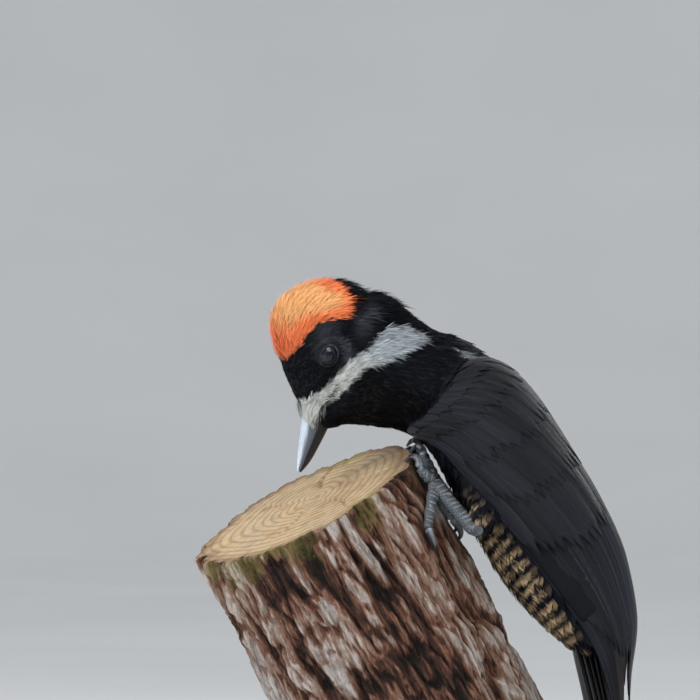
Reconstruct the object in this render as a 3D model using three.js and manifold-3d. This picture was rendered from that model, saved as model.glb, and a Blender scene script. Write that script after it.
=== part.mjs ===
// A young woodpecker clinging to the sawn end of a leaning trunk, on a plain display stand.
// Life size, in millimetres, +Z up. The bird climbs up and towards -X, with its left side to -Y,
// and it bends its head down over the sawn end. The origin is the middle of the base's underside.

import * as THREE from 'three';
import { mergeVertices } from 'three/addons/utils/BufferGeometryUtils.js';
import Module from 'manifold-3d';

const wasm = await Module();
wasm.setup();
const { degToRad, lerp, clamp } = THREE.MathUtils;

// ---- Driving sizes ----

const GAP = 0.3; // left between pieces that touch
const NEAR = new THREE.Vector3(0, -1, 0); // the bird's left

// The perch: a short cut length of trunk. Places on it are [along, around, above]: how far down
// from the rim, the angle from the bird's side towards NEAR in degrees, and height over the bark.
const PERCH_LEAN = degToRad(27); // from upright, top towards -X
const PERCH_RADIUS = 55;
const PERCH_FOOT = 51; // height of its level lower end
const SAW_SLOPE = Math.tan(degToRad(12)); // the sawn end dips towards NEAR
const RIM = new THREE.Vector3(-8.5, 0, 262.9); // the rim of the sawn end, under the breast
const BARK_WAVES = [[5, 0.03, 1.3], [9, -0.04, 0.9], [14, 0.05, 0.5]]; // [around, along, height]

// The stand
const BASE = { length: 236, width: 170, height: 16, corner: 14, bevel: 2.5 };
const ROD = { radius: 4, places: [4, 66] };

// The trunk of the body and the line that the folded wings follow behind it.
// Each station is [x, z, dorsal, ventral, side]: its middle, and how far the coat reaches.
const BODY = [
  [-12.5, 297.8, 25, 25, 24],
  [-1.3, 290.7, 30, 26, 29],
  [12.5, 276.5, 32, 22, 32.5],
  [29, 251.5, 32, 24, 34.5],
  [45, 226.5, 31, 26, 32.5],
  [59.5, 202, 28, 23.5, 27],
  [71, 180.5, 20, 16, 20],
  [77.5, 158, 10, 8, 17],
  [81.3, 132, 6, 4.5, 14.5],
  [84.5, 108, 4.5, 4, 12],
];
const TRUNK_ENDS = [0.02, 0.735]; // as shares of BODY
const TRUNK_CAPS = [0.07, 0.09]; // lengths of its round ends
const NECK = [
  [-46, 308, 27.5, 24, 17],
  [-38, 305, 32.5, 30, 20],
  [-28, 302, 31.5, 30.5, 21.8],
  [-16.9, 298, 27.5, 27.5, 24],
  [-6, 293.5, 26.5, 26, 26],
  [6, 284, 27, 22, 27],
  [14, 275, 18, 14, 19],
];

// The head has its own axes: back from the bill, up to the crown, and left.
const HEAD_ORIGIN = new THREE.Vector3(-58.2, -2.5, 279.9); // where the culmen meets the forehead
const BILL_SLANT = degToRad(18.4); // of the bill from plumb, tip towards -X
const HEAD_ROLL = degToRad(20); // the crown leans to NEAR
// Each station is [back, top, bottom, side].
const HEAD = [
  [-3.6, -3.5, -12.5, 4.5],
  [-1.6, -0.2, -17.5, 8.6],
  [4, 5.6, -22.5, 12.2],
  [11, 12.5, -23.5, 14.6],
  [20, 20, -24, 16.9],
  [29, 26, -23.5, 18.4],
  [37, 29.2, -22, 19],
  [45, 27.2, -20, 18.4],
  [52, 21.6, -17, 16.2],
  [58, 14.2, -13, 12],
  [62.5, 5, -5, 4.5],
];
const CHIN_REACH = 4.5; // the chin's coat reaches this much further along the bill
const BILL = [
  [9, 1, -15, 6.9],
  [0, 0, -14, 6.2],
  [-10, -2, -12.5, 4.7],
  [-19, -4, -10.8, 2.9],
  [-24, -5.5, -9, 1.7],
  [-26.4, -6.3, -7.8, 0.8],
];
const MOUTH = -7.3; // height of the line where the two halves of the bill meet
const EYE = { back: 27.8, up: 3.6, left: 13.3, radius: 6 };

// A folded wing lies on the body between two edges, in degrees from the middle of the back.
// Each station is [share of BODY, upper edge, lower edge, thickness].
const WING = [
  [0.12, 58, 138, 5.5],
  [0.165, 36, 146, 7.5],
  [0.26, 17, 128, 6.5],
  [0.38, 6, 113, 5.2],
  [0.52, 2, 106, 4.6],
  [0.66, 1, 99, 4],
  [0.78, 2, 88, 3.2],
  [0.88, 8, 68, 2.2],
  [0.945, 24, 44, 1.3],
];

// The tail bends in to the bark. Stations are [x, z, thickness, side], half sizes.
const TAIL = [
  [64, 194, 5, 12],
  [70.5, 176, 6, 16],
  [76.5, 153, 4.2, 20],
  [82, 127, 3, 22],
  [86.8, 101, 2.3, 20],
  [90.6, 80, 1.6, 13],
  [92, 71.5, 1, 5],
];
const TAIL_ARCH = 52; // radius that its underside bends round

// The legs: knuckle, heel and hip on the perch, then four toes with their claws.
const FEET = [{ name: 'left', side: 1, shift: 0 }, { name: 'right', side: -1, shift: -3 }];
const KNUCKLE = [16, 23, 6.2];
const HEEL = [46, 28.4, 16.5];
const HIP = [26, 12, 31];
const SHIN_RADIUS = 2.9;
const TOE_RADIUS = 2.5;
const CLAW_RADIUS = 1.9;
const TOES = [
  { toe: [KNUCKLE, [23, 21, 5], [30, 17.5, 3.4], [35, 15, 3]],
    claw: [[35, 15, 3], [40, 13.5, 3.8], [43.5, 12.5, 2.8], [45.5, 12, -0.2]] },
  { toe: [KNUCKLE, [12, 25, 5.4], [8, 24.5, 3.8]],
    claw: [[8, 24.5, 3.8], [4.5, 23.5, 4.6], [2.2, 22.5, 2.4], [3.4, 22, -2]] },
  { toe: [KNUCKLE, [11.5, 17, 5.2], [7.5, 12, 3.8], [4.6, 8.5, 3]],
    claw: [[4.6, 8.5, 3], [1.6, 6, 3.8], [-0.8, 5, 1.8], [0.4, 4.8, -2.2]] },
  { toe: [KNUCKLE, [20, 25.5, 5.2], [25, 30.5, 3.6], [29.5, 35.5, 3.1], [33.4, 39.5, 3]],
    claw: [[33.4, 39.5, 3], [37.6, 41.3, 3.8], [40.8, 41, 2.8], [42.8, 39.3, -0.2]] },
];

// ---- Frames ----

const DOWN = new THREE.Vector3(Math.sin(PERCH_LEAN), 0, -Math.cos(PERCH_LEAN));
const OUT = new THREE.Vector3(Math.cos(PERCH_LEAN), 0, Math.sin(PERCH_LEAN));
const PERCH_TOP = RIM.clone().addScaledVector(OUT, -PERCH_RADIUS);

const BACK = new THREE.Vector3(Math.sin(BILL_SLANT), 0, Math.cos(BILL_SLANT));
const LEVEL_UP = new THREE.Vector3(-Math.cos(BILL_SLANT), 0, Math.sin(BILL_SLANT));
const UP = LEVEL_UP.clone().applyAxisAngle(BACK, HEAD_ROLL);
const LEFT = NEAR.clone().applyAxisAngle(BACK, HEAD_ROLL);

function onPerch(along, angle, reach) {
  return PERCH_TOP.clone()
    .addScaledVector(DOWN, along)
    .addScaledVector(OUT, reach * Math.cos(angle))
    .addScaledVector(NEAR, reach * Math.sin(angle));
}

function inHead(back, up, left) {
  return HEAD_ORIGIN.clone().addScaledVector(BACK, back).addScaledVector(UP, up).addScaledVector(LEFT, left);
}

// ---- Making solids ----

// A closed net of shared points, with its faces turned out.
function toNet(geometry) {
  geometry.deleteAttribute('normal');
  geometry.deleteAttribute('uv');
  const net = mergeVertices(geometry, 1e-3);
  const corners = [new THREE.Vector3(), new THREE.Vector3(), new THREE.Vector3()];
  let volume = 0;
  for (let i = 0; i < net.index.count; i += 3) {
    corners.forEach((corner, k) => corner.fromBufferAttribute(net.attributes.position, net.index.getX(i + k)));
    volume += corners[0].dot(corners[1].cross(corners[2])) / 6;
  }
  if (volume < 0) net.index.array.reverse();
  net.computeVertexNormals();
  return net;
}

// The solid inside a net, grown outwards by a small margin if one is given.
function toSolid(net, margin = 0) {
  const { position, normal } = net.attributes;
  const vertProperties = position.array.map((value, i) => value + margin * normal.array[i]);
  const triVerts = Uint32Array.from(net.index.array);
  return new wasm.Manifold(new wasm.Mesh({ numProp: 3, vertProperties, triVerts }));
}

// A body's solid, and the room it takes from its neighbours.
function solidAndRoom(net) {
  return [toSolid(net), toSolid(net, GAP)];
}

// A closed body from a sphere's net: place(along, angle) gives each point, with along from 0 to 1.
function roundNet(columns, rows, place) {
  const geometry = new THREE.SphereGeometry(1, columns, rows);
  const { position, uv } = geometry.attributes;
  for (let i = 0; i < position.count; i++) {
    const along = 1 - uv.getY(i);
    const column = Math.round(uv.getX(i) * columns) % columns;
    const point = place(along, (column / columns) * 2 * Math.PI);
    position.setXYZ(i, point.x, point.y, point.z);
  }
  return toNet(geometry);
}

// 0 at both ends of a body, rising as a quarter round over the given shares of its length.
function roundEnds(along, start, end) {
  const quarter = (x) => Math.sqrt(1 - (1 - clamp(x, 0, 1)) ** 2);
  return quarter(along / start) * quarter((1 - along) / end);
}

// Rows that crowd towards both ends.
function eased(along) {
  return lerp(along, (1 - Math.cos(Math.PI * along)) / 2, 0.75);
}

// Smooth values between the stations of a table, at a share of its length.
function reader(stations) {
  const last = stations.length - 1;
  return (share) => {
    const at = clamp(share, 0, 1) * last;
    const i = Math.min(Math.floor(at), last - 1);
    const [before, from, to, after] = [i - 1, i, i + 1, i + 2].map((k) => stations[clamp(k, 0, last)]);
    const [t, t2, t3] = [at - i, (at - i) ** 2, (at - i) ** 3];
    return from.map((value, k) => (2 * t3 - 3 * t2 + 1) * value
      + ((t3 - 2 * t2 + t) * (to[k] - before[k])) / 2
      + (3 * t2 - 2 * t3) * to[k]
      + ((t3 - t2) * (after[k] - value)) / 2);
  };
}

// The way from the middle line of a table of [x, z, ...] stations to the bird's back.
function dorsalWay(read, share) {
  const [ax, az] = read(share - 0.01);
  const [bx, bz] = read(share + 0.01);
  return new THREE.Vector3(az - bz, 0, bx - ax).normalize();
}

// A point on a body of oval sections: angle 0 is at the back, and lift stands off the surface.
function ovalPoint(read, share, angle, size, lift = 0) {
  const [x, z, dorsal, ventral, side] = read(share);
  const rise = Math.cos(angle) * (Math.cos(angle) > 0 ? dorsal : ventral);
  const offset = dorsalWay(read, share).multiplyScalar(rise).addScaledVector(NEAR, Math.sin(angle) * side);
  return new THREE.Vector3(x, 0, z).addScaledVector(offset, size * (1 + lift / offset.length()));
}

function ovalNet(stations, ends, caps, columns, rows) {
  const read = reader(stations);
  return roundNet(columns, rows, (along, angle) => {
    const share = lerp(ends[0], ends[1], eased(along));
    return ovalPoint(read, share, angle, roundEnds(eased(along), caps[0], caps[1]));
  });
}

// A round body along a path, its radius a function of the share of the path.
function limb(points, radius, columns, rows) {
  const path = new THREE.CatmullRomCurve3(points);
  const frames = path.computeFrenetFrames(rows, false);
  return toSolid(roundNet(columns, rows, (along, angle) => {
    const row = Math.round(along * rows);
    return path.getPointAt(along)
      .addScaledVector(frames.normals[row], Math.cos(angle) * radius(along))
      .addScaledVector(frames.binormals[row], Math.sin(angle) * radius(along));
  }));
}

// ---- The perch and stand ----

function barkRelief(angle, along) {
  return BARK_WAVES.reduce((sum, [n, k, high]) => sum + high * Math.sin(n * angle + k * along + n), 0);
}

function perchNet() {
  const geometry = new THREE.CylinderGeometry(1, 1, 1, 36, 12);
  const { position } = geometry.attributes;
  for (let i = 0; i < position.count; i++) {
    const [px, py, pz] = [position.getX(i), position.getY(i), position.getZ(i)];
    const angle = Math.atan2(pz, px);
    let along = 0;
    let reach = 0;
    // Both ends slant, so the length depends on the reach, and the reach on the length.
    for (let pass = 0; pass < 4; pass++) {
      reach = Math.hypot(px, pz) * (PERCH_RADIUS + barkRelief(angle, along));
      const top = SAW_SLOPE * reach * Math.sin(angle);
      const foot = (PERCH_TOP.z + reach * Math.cos(angle) * OUT.z - PERCH_FOOT) / -DOWN.z;
      along = lerp(top, foot, 0.5 - py);
    }
    const point = onPerch(along, angle, reach);
    position.setXYZ(i, point.x, point.y, point.z);
  }
  return toNet(geometry);
}

function standBase() {
  const { length, width, height, corner, bevel } = BASE;
  const [x, y] = [length / 2 - bevel - corner, width / 2 - bevel - corner];
  const outline = new THREE.Shape();
  outline.absarc(x, -y, corner, -Math.PI / 2, 0);
  outline.absarc(x, y, corner, 0, Math.PI / 2);
  outline.absarc(-x, y, corner, Math.PI / 2, Math.PI);
  outline.absarc(-x, -y, corner, Math.PI, Math.PI * 1.5);
  const block = new THREE.ExtrudeGeometry(outline, {
    depth: height - 2 * bevel,
    bevelThickness: bevel,
    bevelSize: bevel,
    bevelSegments: 2,
    curveSegments: 4,
  });
  return toSolid(toNet(block.translate(0, 0, bevel)));
}

function standRod(x) {
  const length = PERCH_FOOT - BASE.height - 2 * GAP;
  const rod = new THREE.CylinderGeometry(ROD.radius, ROD.radius, length, 16).rotateX(Math.PI / 2);
  return toSolid(toNet(rod.translate(x, 0, BASE.height + GAP + length / 2)));
}

// ---- The bird ----

function headNet(stations, caps, chin, columns, rows) {
  const read = reader(stations);
  return roundNet(columns, rows, (along, angle) => {
    const [back, top, bottom, side] = read(eased(along));
    const size = roundEnds(eased(along), caps[0], caps[1]);
    const reach = (chin * (1 - along) ** 6 * (1 - size * Math.cos(angle))) / 2;
    const up = (top + bottom) / 2 + (size * (top - bottom) * Math.cos(angle)) / 2;
    return inHead(back - reach, up, size * side * Math.sin(angle));
  });
}

function eyeNet(side) {
  const { x, y, z } = inHead(EYE.back, EYE.up, side * EYE.left);
  return toNet(new THREE.SphereGeometry(EYE.radius, 12, 9).translate(x, y, z));
}

// A block in the head's axes that holds one half of the bill.
function billHalf(side) {
  const depth = 40;
  const middle = inHead(0, MOUTH + (side * (depth + GAP)) / 2, 0);
  const place = new THREE.Matrix4().makeBasis(BACK, UP, LEFT).setPosition(middle);
  return toSolid(toNet(new THREE.BoxGeometry(120, depth, depth).applyMatrix4(place)));
}

function wingNet(side) {
  const read = reader(WING);
  const body = reader(BODY);
  return roundNet(20, 13, (along, angle) => {
    const [share, upper, lower, thick] = read(along);
    const width = roundEnds(along, 0.1, 0.2);
    const across = lerp(upper, lower, 0.5 + 0.5 * width * Math.cos(angle));
    const lift = GAP + (thick * width * (1 + Math.sin(angle))) / 2;
    const point = ovalPoint(body, share, degToRad(across), 1, lift);
    return point.setY(point.y * side);
  });
}

function tailNet() {
  const read = reader(TAIL);
  return roundNet(20, 12, (along, angle) => {
    const [x, z, thick, side] = read(along);
    const size = roundEnds(along, 0.06, 0.06);
    const y = -size * side * Math.sin(angle);
    const rise = size * thick * Math.cos(angle) - (y * y) / (2 * TAIL_ARCH);
    return new THREE.Vector3(x, y, z).addScaledVector(dorsalWay(read, along), rise);
  });
}

function footPlace([along, around, above], { side, shift }) {
  return onPerch(along + shift, degToRad(around * side), PERCH_RADIUS + above);
}

// Toes swell at their joints.
function toeRadius(along) {
  const joints = 1 + 0.1 * Math.cos(along * 6 * Math.PI);
  return TOE_RADIUS * joints * roundEnds(along, 0.12, 0.1) * lerp(1.1, 0.85, along);
}

function clawRadius(along) {
  return CLAW_RADIUS * roundEnds(along, 0.12, 0.05) * lerp(1, 0.25, along ** 1.2);
}

function shinRadius(along) {
  return SHIN_RADIUS * roundEnds(along, 0.08, 0.08) * (1 + 0.25 * (2 * along - 1) ** 4);
}

function thighRadius(along) {
  return lerp(15, 5.4, along ** 0.8) * roundEnds(along, 0.3, 0.12);
}

// ---- Colours ----

function finish(color, roughness, metalness = 0) {
  return new THREE.MeshStandardMaterial({ color, roughness, metalness });
}

const BLACK_COAT = finish(0x14161b, 0.6);
const CROWN_COAT = finish(0xd9562a, 0.7);
const SLATE_HORN = finish(0x54595f, 0.45);
const DARK_EYE = finish(0x0b0f18, 0.08);
const SLATE_FOOT = finish(0x565b60, 0.6);
const BARK = finish(0x7a5a48, 0.9);
const STAND_WOOD = finish(0x2b2522, 0.4);
const ROD_STEEL = finish(0x8c8f92, 0.3, 1);

// ---- Putting it together ----

const part = new THREE.Group();

// A cut can leave a loose sliver, so only the largest piece of a solid is kept.
function addPiece(name, solid, material) {
  const pieces = solid.decompose();
  const kept = pieces.reduce((best, piece) => (piece.volume() > best.volume() ? piece : best));
  const { vertProperties, triVerts } = kept.getMesh();
  const geometry = new THREE.BufferGeometry();
  geometry.setAttribute('position', new THREE.BufferAttribute(vertProperties, 3));
  geometry.setIndex(new THREE.BufferAttribute(triVerts, 1));
  const mesh = new THREE.Mesh(geometry, material);
  mesh.name = name;
  part.add(mesh);
}

const [perch, perchRoom] = solidAndRoom(perchNet());
const [trunk, trunkRoom] = solidAndRoom(ovalNet(BODY, TRUNK_ENDS, TRUNK_CAPS, 24, 16));
const [skull, skullRoom] = solidAndRoom(headNet(HEAD, [0.09, 0.12], CHIN_REACH, 24, 17));
const [neck, neckRoom] = solidAndRoom(ovalNet(NECK, [0, 1], [0.2, 0.2], 22, 9));
const [leftEye, leftSocket] = solidAndRoom(eyeNet(1));
const [rightEye, rightSocket] = solidAndRoom(eyeNet(-1));
const bill = toSolid(headNet(BILL, [0.02, 0.04], 0, 16, 8)).subtract(skullRoom);

addPiece('head', skull.subtract(leftSocket).subtract(rightSocket), CROWN_COAT);
addPiece('bill_upper', bill.intersect(billHalf(1)), SLATE_HORN);
addPiece('bill_lower', bill.intersect(billHalf(-1)), SLATE_HORN);
addPiece('eye_left', leftEye, DARK_EYE);
addPiece('eye_right', rightEye, DARK_EYE);
addPiece('neck', neck.subtract(skullRoom).subtract(trunkRoom), BLACK_COAT);
addPiece('trunk', trunk, BLACK_COAT);

const [leftWing, leftWingRoom] = solidAndRoom(wingNet(1));
const [rightWing, rightWingRoom] = solidAndRoom(wingNet(-1));
addPiece('wing_left', leftWing.subtract(trunkRoom).subtract(neckRoom), BLACK_COAT);
addPiece('wing_right', rightWing.subtract(trunkRoom).subtract(neckRoom), BLACK_COAT);

const bodyRoom = trunkRoom.add(leftWingRoom).add(rightWingRoom).add(perchRoom);
addPiece('tail', toSolid(tailNet()).subtract(bodyRoom), BLACK_COAT);

for (const foot of FEET) {
  const [knuckle, heel, hip] = [KNUCKLE, HEEL, HIP].map((place) => footPlace(place, foot));
  const thigh = limb([hip, hip.clone().lerp(heel, 0.5), heel], thighRadius, 14, 7);
  const shin = limb([heel, heel.clone().lerp(knuckle, 0.5), knuckle], shinRadius, 9, 6);
  addPiece(`thigh_${foot.name}`, thigh.subtract(bodyRoom), BLACK_COAT);
  addPiece(`shin_${foot.name}`, shin.subtract(thigh).subtract(bodyRoom), SLATE_FOOT);
  let taken = shin;
  TOES.forEach((digit, i) => {
    const toe = limb(digit.toe.map((place) => footPlace(place, foot)), toeRadius, 7, 8);
    const claw = limb(digit.claw.map((place) => footPlace(place, foot)), clawRadius, 6, 5);
    addPiece(`toe_${foot.name}_${i + 1}`, toe.subtract(taken).subtract(bodyRoom), SLATE_FOOT);
    addPiece(`claw_${foot.name}_${i + 1}`, claw.subtract(toe).subtract(bodyRoom), SLATE_HORN);
    taken = taken.add(toe);
  });
}

addPiece('perch', perch, BARK);
addPiece('stand_base', standBase(), STAND_WOOD);
ROD.places.forEach((x, i) => addPiece(`stand_rod_${i + 1}`, standRod(x), ROD_STEEL));

export default part;
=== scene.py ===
"""A young woodpecker that clings to the sawn end of a leaning trunk, on a plain display stand.

Sizes are in millimetres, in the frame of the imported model: +Z is up, the bird climbs up and
towards -X, and its left side is to -Y. Meshes are turned to metres where they are made. Shares run
from 0 to 1. A depth is above 0 inside the part of the bird that it measures.
"""

import logging
import math
from collections.abc import Callable, Iterable, Sequence
from dataclasses import dataclass, field
from enum import Enum

import bmesh
import bpy
import numpy as np
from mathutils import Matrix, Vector
from mathutils.bvhtree import BVHTree


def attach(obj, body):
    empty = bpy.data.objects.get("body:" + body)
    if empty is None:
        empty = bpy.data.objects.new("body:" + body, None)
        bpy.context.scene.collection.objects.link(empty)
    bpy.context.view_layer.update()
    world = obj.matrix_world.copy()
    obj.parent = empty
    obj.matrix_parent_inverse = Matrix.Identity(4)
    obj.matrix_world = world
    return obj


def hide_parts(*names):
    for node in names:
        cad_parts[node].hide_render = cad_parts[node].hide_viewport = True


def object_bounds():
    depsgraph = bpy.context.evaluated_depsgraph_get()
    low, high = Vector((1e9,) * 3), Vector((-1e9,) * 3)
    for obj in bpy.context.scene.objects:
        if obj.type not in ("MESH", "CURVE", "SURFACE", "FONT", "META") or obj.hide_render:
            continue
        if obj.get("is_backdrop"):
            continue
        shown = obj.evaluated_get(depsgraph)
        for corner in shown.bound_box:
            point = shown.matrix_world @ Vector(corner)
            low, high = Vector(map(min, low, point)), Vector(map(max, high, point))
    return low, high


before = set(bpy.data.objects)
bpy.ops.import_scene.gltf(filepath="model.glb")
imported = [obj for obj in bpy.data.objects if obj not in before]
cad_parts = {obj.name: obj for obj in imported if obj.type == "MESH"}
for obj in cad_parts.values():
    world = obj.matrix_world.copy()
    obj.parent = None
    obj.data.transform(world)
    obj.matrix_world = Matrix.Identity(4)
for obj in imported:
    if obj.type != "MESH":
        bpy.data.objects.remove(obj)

Array = np.ndarray
Random = np.random.Generator
Finish = bpy.types.Material
Socket = bpy.types.NodeSocket
Piece = bpy.types.Object
Measure = Callable[[Array], Array]  # a value for each point
Surface = Callable[[Array, Array], Array]  # a value from two shares or angles

LOG = logging.getLogger("woodpecker")
MM = 0.001
NEAR = np.array([0.0, -1.0, 0.0])  # the bird's left
BIRD_LEFT, BIRD_RIGHT = 1, -1
FOOT_SHIFTS = {BIRD_LEFT: 0.0, BIRD_RIGHT: -3.0}  # how far down the trunk each foot stands
AT_ONCE = 4000  # places worked on together, to save memory
CELL_FACTORS = np.array([73856093, 19349663, 83492791])  # these scramble the cells of the noise
SEED_FACTOR, BIT_FACTOR, BIT_MASK = 7919, 1274126177, 0xFFFFFF


# ---- Numbers and curves ----


def unit(vectors: Array) -> Array:
    """Vectors scaled to a length of one."""
    return vectors / np.maximum(np.linalg.norm(vectors, axis=-1, keepdims=True), 1e-9)


def ease(low: float, high: float, value: Array | float) -> Array:
    """A smooth step from 0 at low to 1 at high."""
    t = np.clip((np.asarray(value, float) - low) / (high - low), 0, 1)
    return t * t * (3 - 2 * t)


def blend(first: Array, second: Array, share: Array) -> Array:
    """Rows of values that go from the first at share 0 to the second at share 1."""
    return first + (np.asarray(second, float) - first) * np.asarray(share, float)[..., None]


def quarter(share: Array | float) -> Array:
    """A quarter round that rises from 0 to 1."""
    return np.sqrt(np.maximum(1 - (1 - np.clip(share, 0, 1)) ** 2, 0))


def round_ends(share: Array, start: float, end: float) -> Array:
    """0 at both ends, rising as a quarter round over the given shares."""
    return quarter(share / start) * quarter((1 - share) / end)


def hill(value: Array, middle: float, width: float) -> Array:
    """1 at the middle, fading out over the width on both sides."""
    return np.exp(-(((value - middle) / width) ** 2))


def least(*depths: Array) -> Array:
    """The smallest of several depths at each place."""
    return np.minimum.reduce(depths)


def turns(count: int) -> Array:
    """Even angles round one whole turn."""
    return np.linspace(0, math.tau, count, endpoint=False)


def swing(angle: Array, start: Array, square: Array) -> Array:
    """The ways reached by turning from one way towards another that is square to it."""
    return np.cos(angle)[..., None] * start + np.sin(angle)[..., None] * square


def in_parts(work: Measure, places: Array) -> Array:
    """The results of some work on places, done on a few thousand at a time."""
    return np.concatenate([work(part) for part in np.array_split(places, max(1, len(places) // AT_ONCE))])


def nearest_row(places: Array, line: Array) -> Array:
    """The number of the point of a line that is nearest to each place."""
    return in_parts(lambda part: np.argmin(((part[:, None] - line[None]) ** 2).sum(-1), 1), places)


def way_run(line: Array) -> Array:
    """How far along a line each of its points is."""
    return np.concatenate([[0], np.cumsum(np.linalg.norm(np.diff(line, axis=0), axis=1))])


def line_length(line: Array) -> float:
    """The length of a line."""
    return np.linalg.norm(np.diff(line, axis=0), axis=1).sum()


def read_table(stations: Sequence[Sequence[float]], share: Array | float) -> Array:
    """Smooth values between the stations of a table.

    Args:
        stations: The rows of the table, evenly placed from share 0 to 1.
        share: Where to read it.

    Returns:
        One row for each share.
    """
    table = np.array(stations, float)
    last = len(table) - 1
    at = np.clip(share, 0, 1) * last
    i = np.minimum(np.floor(at).astype(int), last - 1)
    before, start, stop, after = (table[np.clip(i + k, 0, last)] for k in (-1, 0, 1, 2))
    t = (at - i)[..., None] if np.ndim(at) else at - i
    return (
        (2 * t**3 - 3 * t**2 + 1) * start
        + (t**3 - 2 * t**2 + t) * (stop - before) / 2
        + (3 * t**2 - 2 * t**3) * stop
        + (t**3 - t**2) * (after - start) / 2
    )


def back_way(stations: Sequence[Sequence[float]], share: Array) -> Array:
    """The way from a middle line to the bird's back, where the stations start with x and z."""
    step = read_table(stations, share + 0.01) - read_table(stations, share - 0.01)
    return unit(np.stack([-step[..., 1], np.zeros_like(share), step[..., 0]], -1))


def value_noise(points: Array, seed: int = 0) -> Array:
    """Smooth random values from -1 to 1.

    Args:
        points: Places, with one cell of the noise for each unit.
        seed: Which noise it is.

    Returns:
        One value for each place.
    """
    base = np.floor(points).astype(np.int64)
    t = points - base
    t = t * t * (3 - 2 * t)
    total = np.zeros(points.shape[:-1])
    for corner in np.ndindex(2, 2, 2):
        mixed = (base + np.array(corner)) @ CELL_FACTORS + seed * SEED_FACTOR
        mixed = (mixed ^ (mixed >> 13)) * BIT_FACTOR
        mixed = (mixed ^ (mixed >> 16)) & BIT_MASK
        weight = np.prod(np.where(np.array(corner) == 1, t, 1 - t), axis=-1)
        total += weight * (mixed / (BIT_MASK // 2) - 1)
    return total


def layered_noise(points: Array, layers: int, seed: int = 0) -> Array:
    """Noise with finer and finer layers, from about -1 to 1."""
    total = sum(value_noise(points * 2**k, seed + k) / 2**k for k in range(layers))
    return total / (2 - 0.5 ** (layers - 1))


def grid_quads(rows: int, columns: int, closed: bool = False) -> Array:
    """The faces of a net of points.

    Args:
        rows: Rows of points.
        columns: Points in each row.
        closed: Whether each row is a ring.

    Returns:
        Four corners for each face.
    """
    steps = np.arange(columns if closed else columns - 1)
    row, column = np.meshgrid(np.arange(rows - 1) * columns, steps, indexing="ij")
    beside = (column + 1) % columns
    corners = [row + column, row + beside, row + columns + beside, row + columns + column]
    return np.stack(corners, -1).reshape(-1, 4)


def many_grids(count: int, rows: int, columns: int) -> Array:
    """The faces of many like nets of points, one after the other."""
    faces = grid_quads(rows, columns)
    return (np.arange(count)[:, None, None] * rows * columns + faces[None]).reshape(-1, 4)


# ---- Making pieces ----


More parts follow.
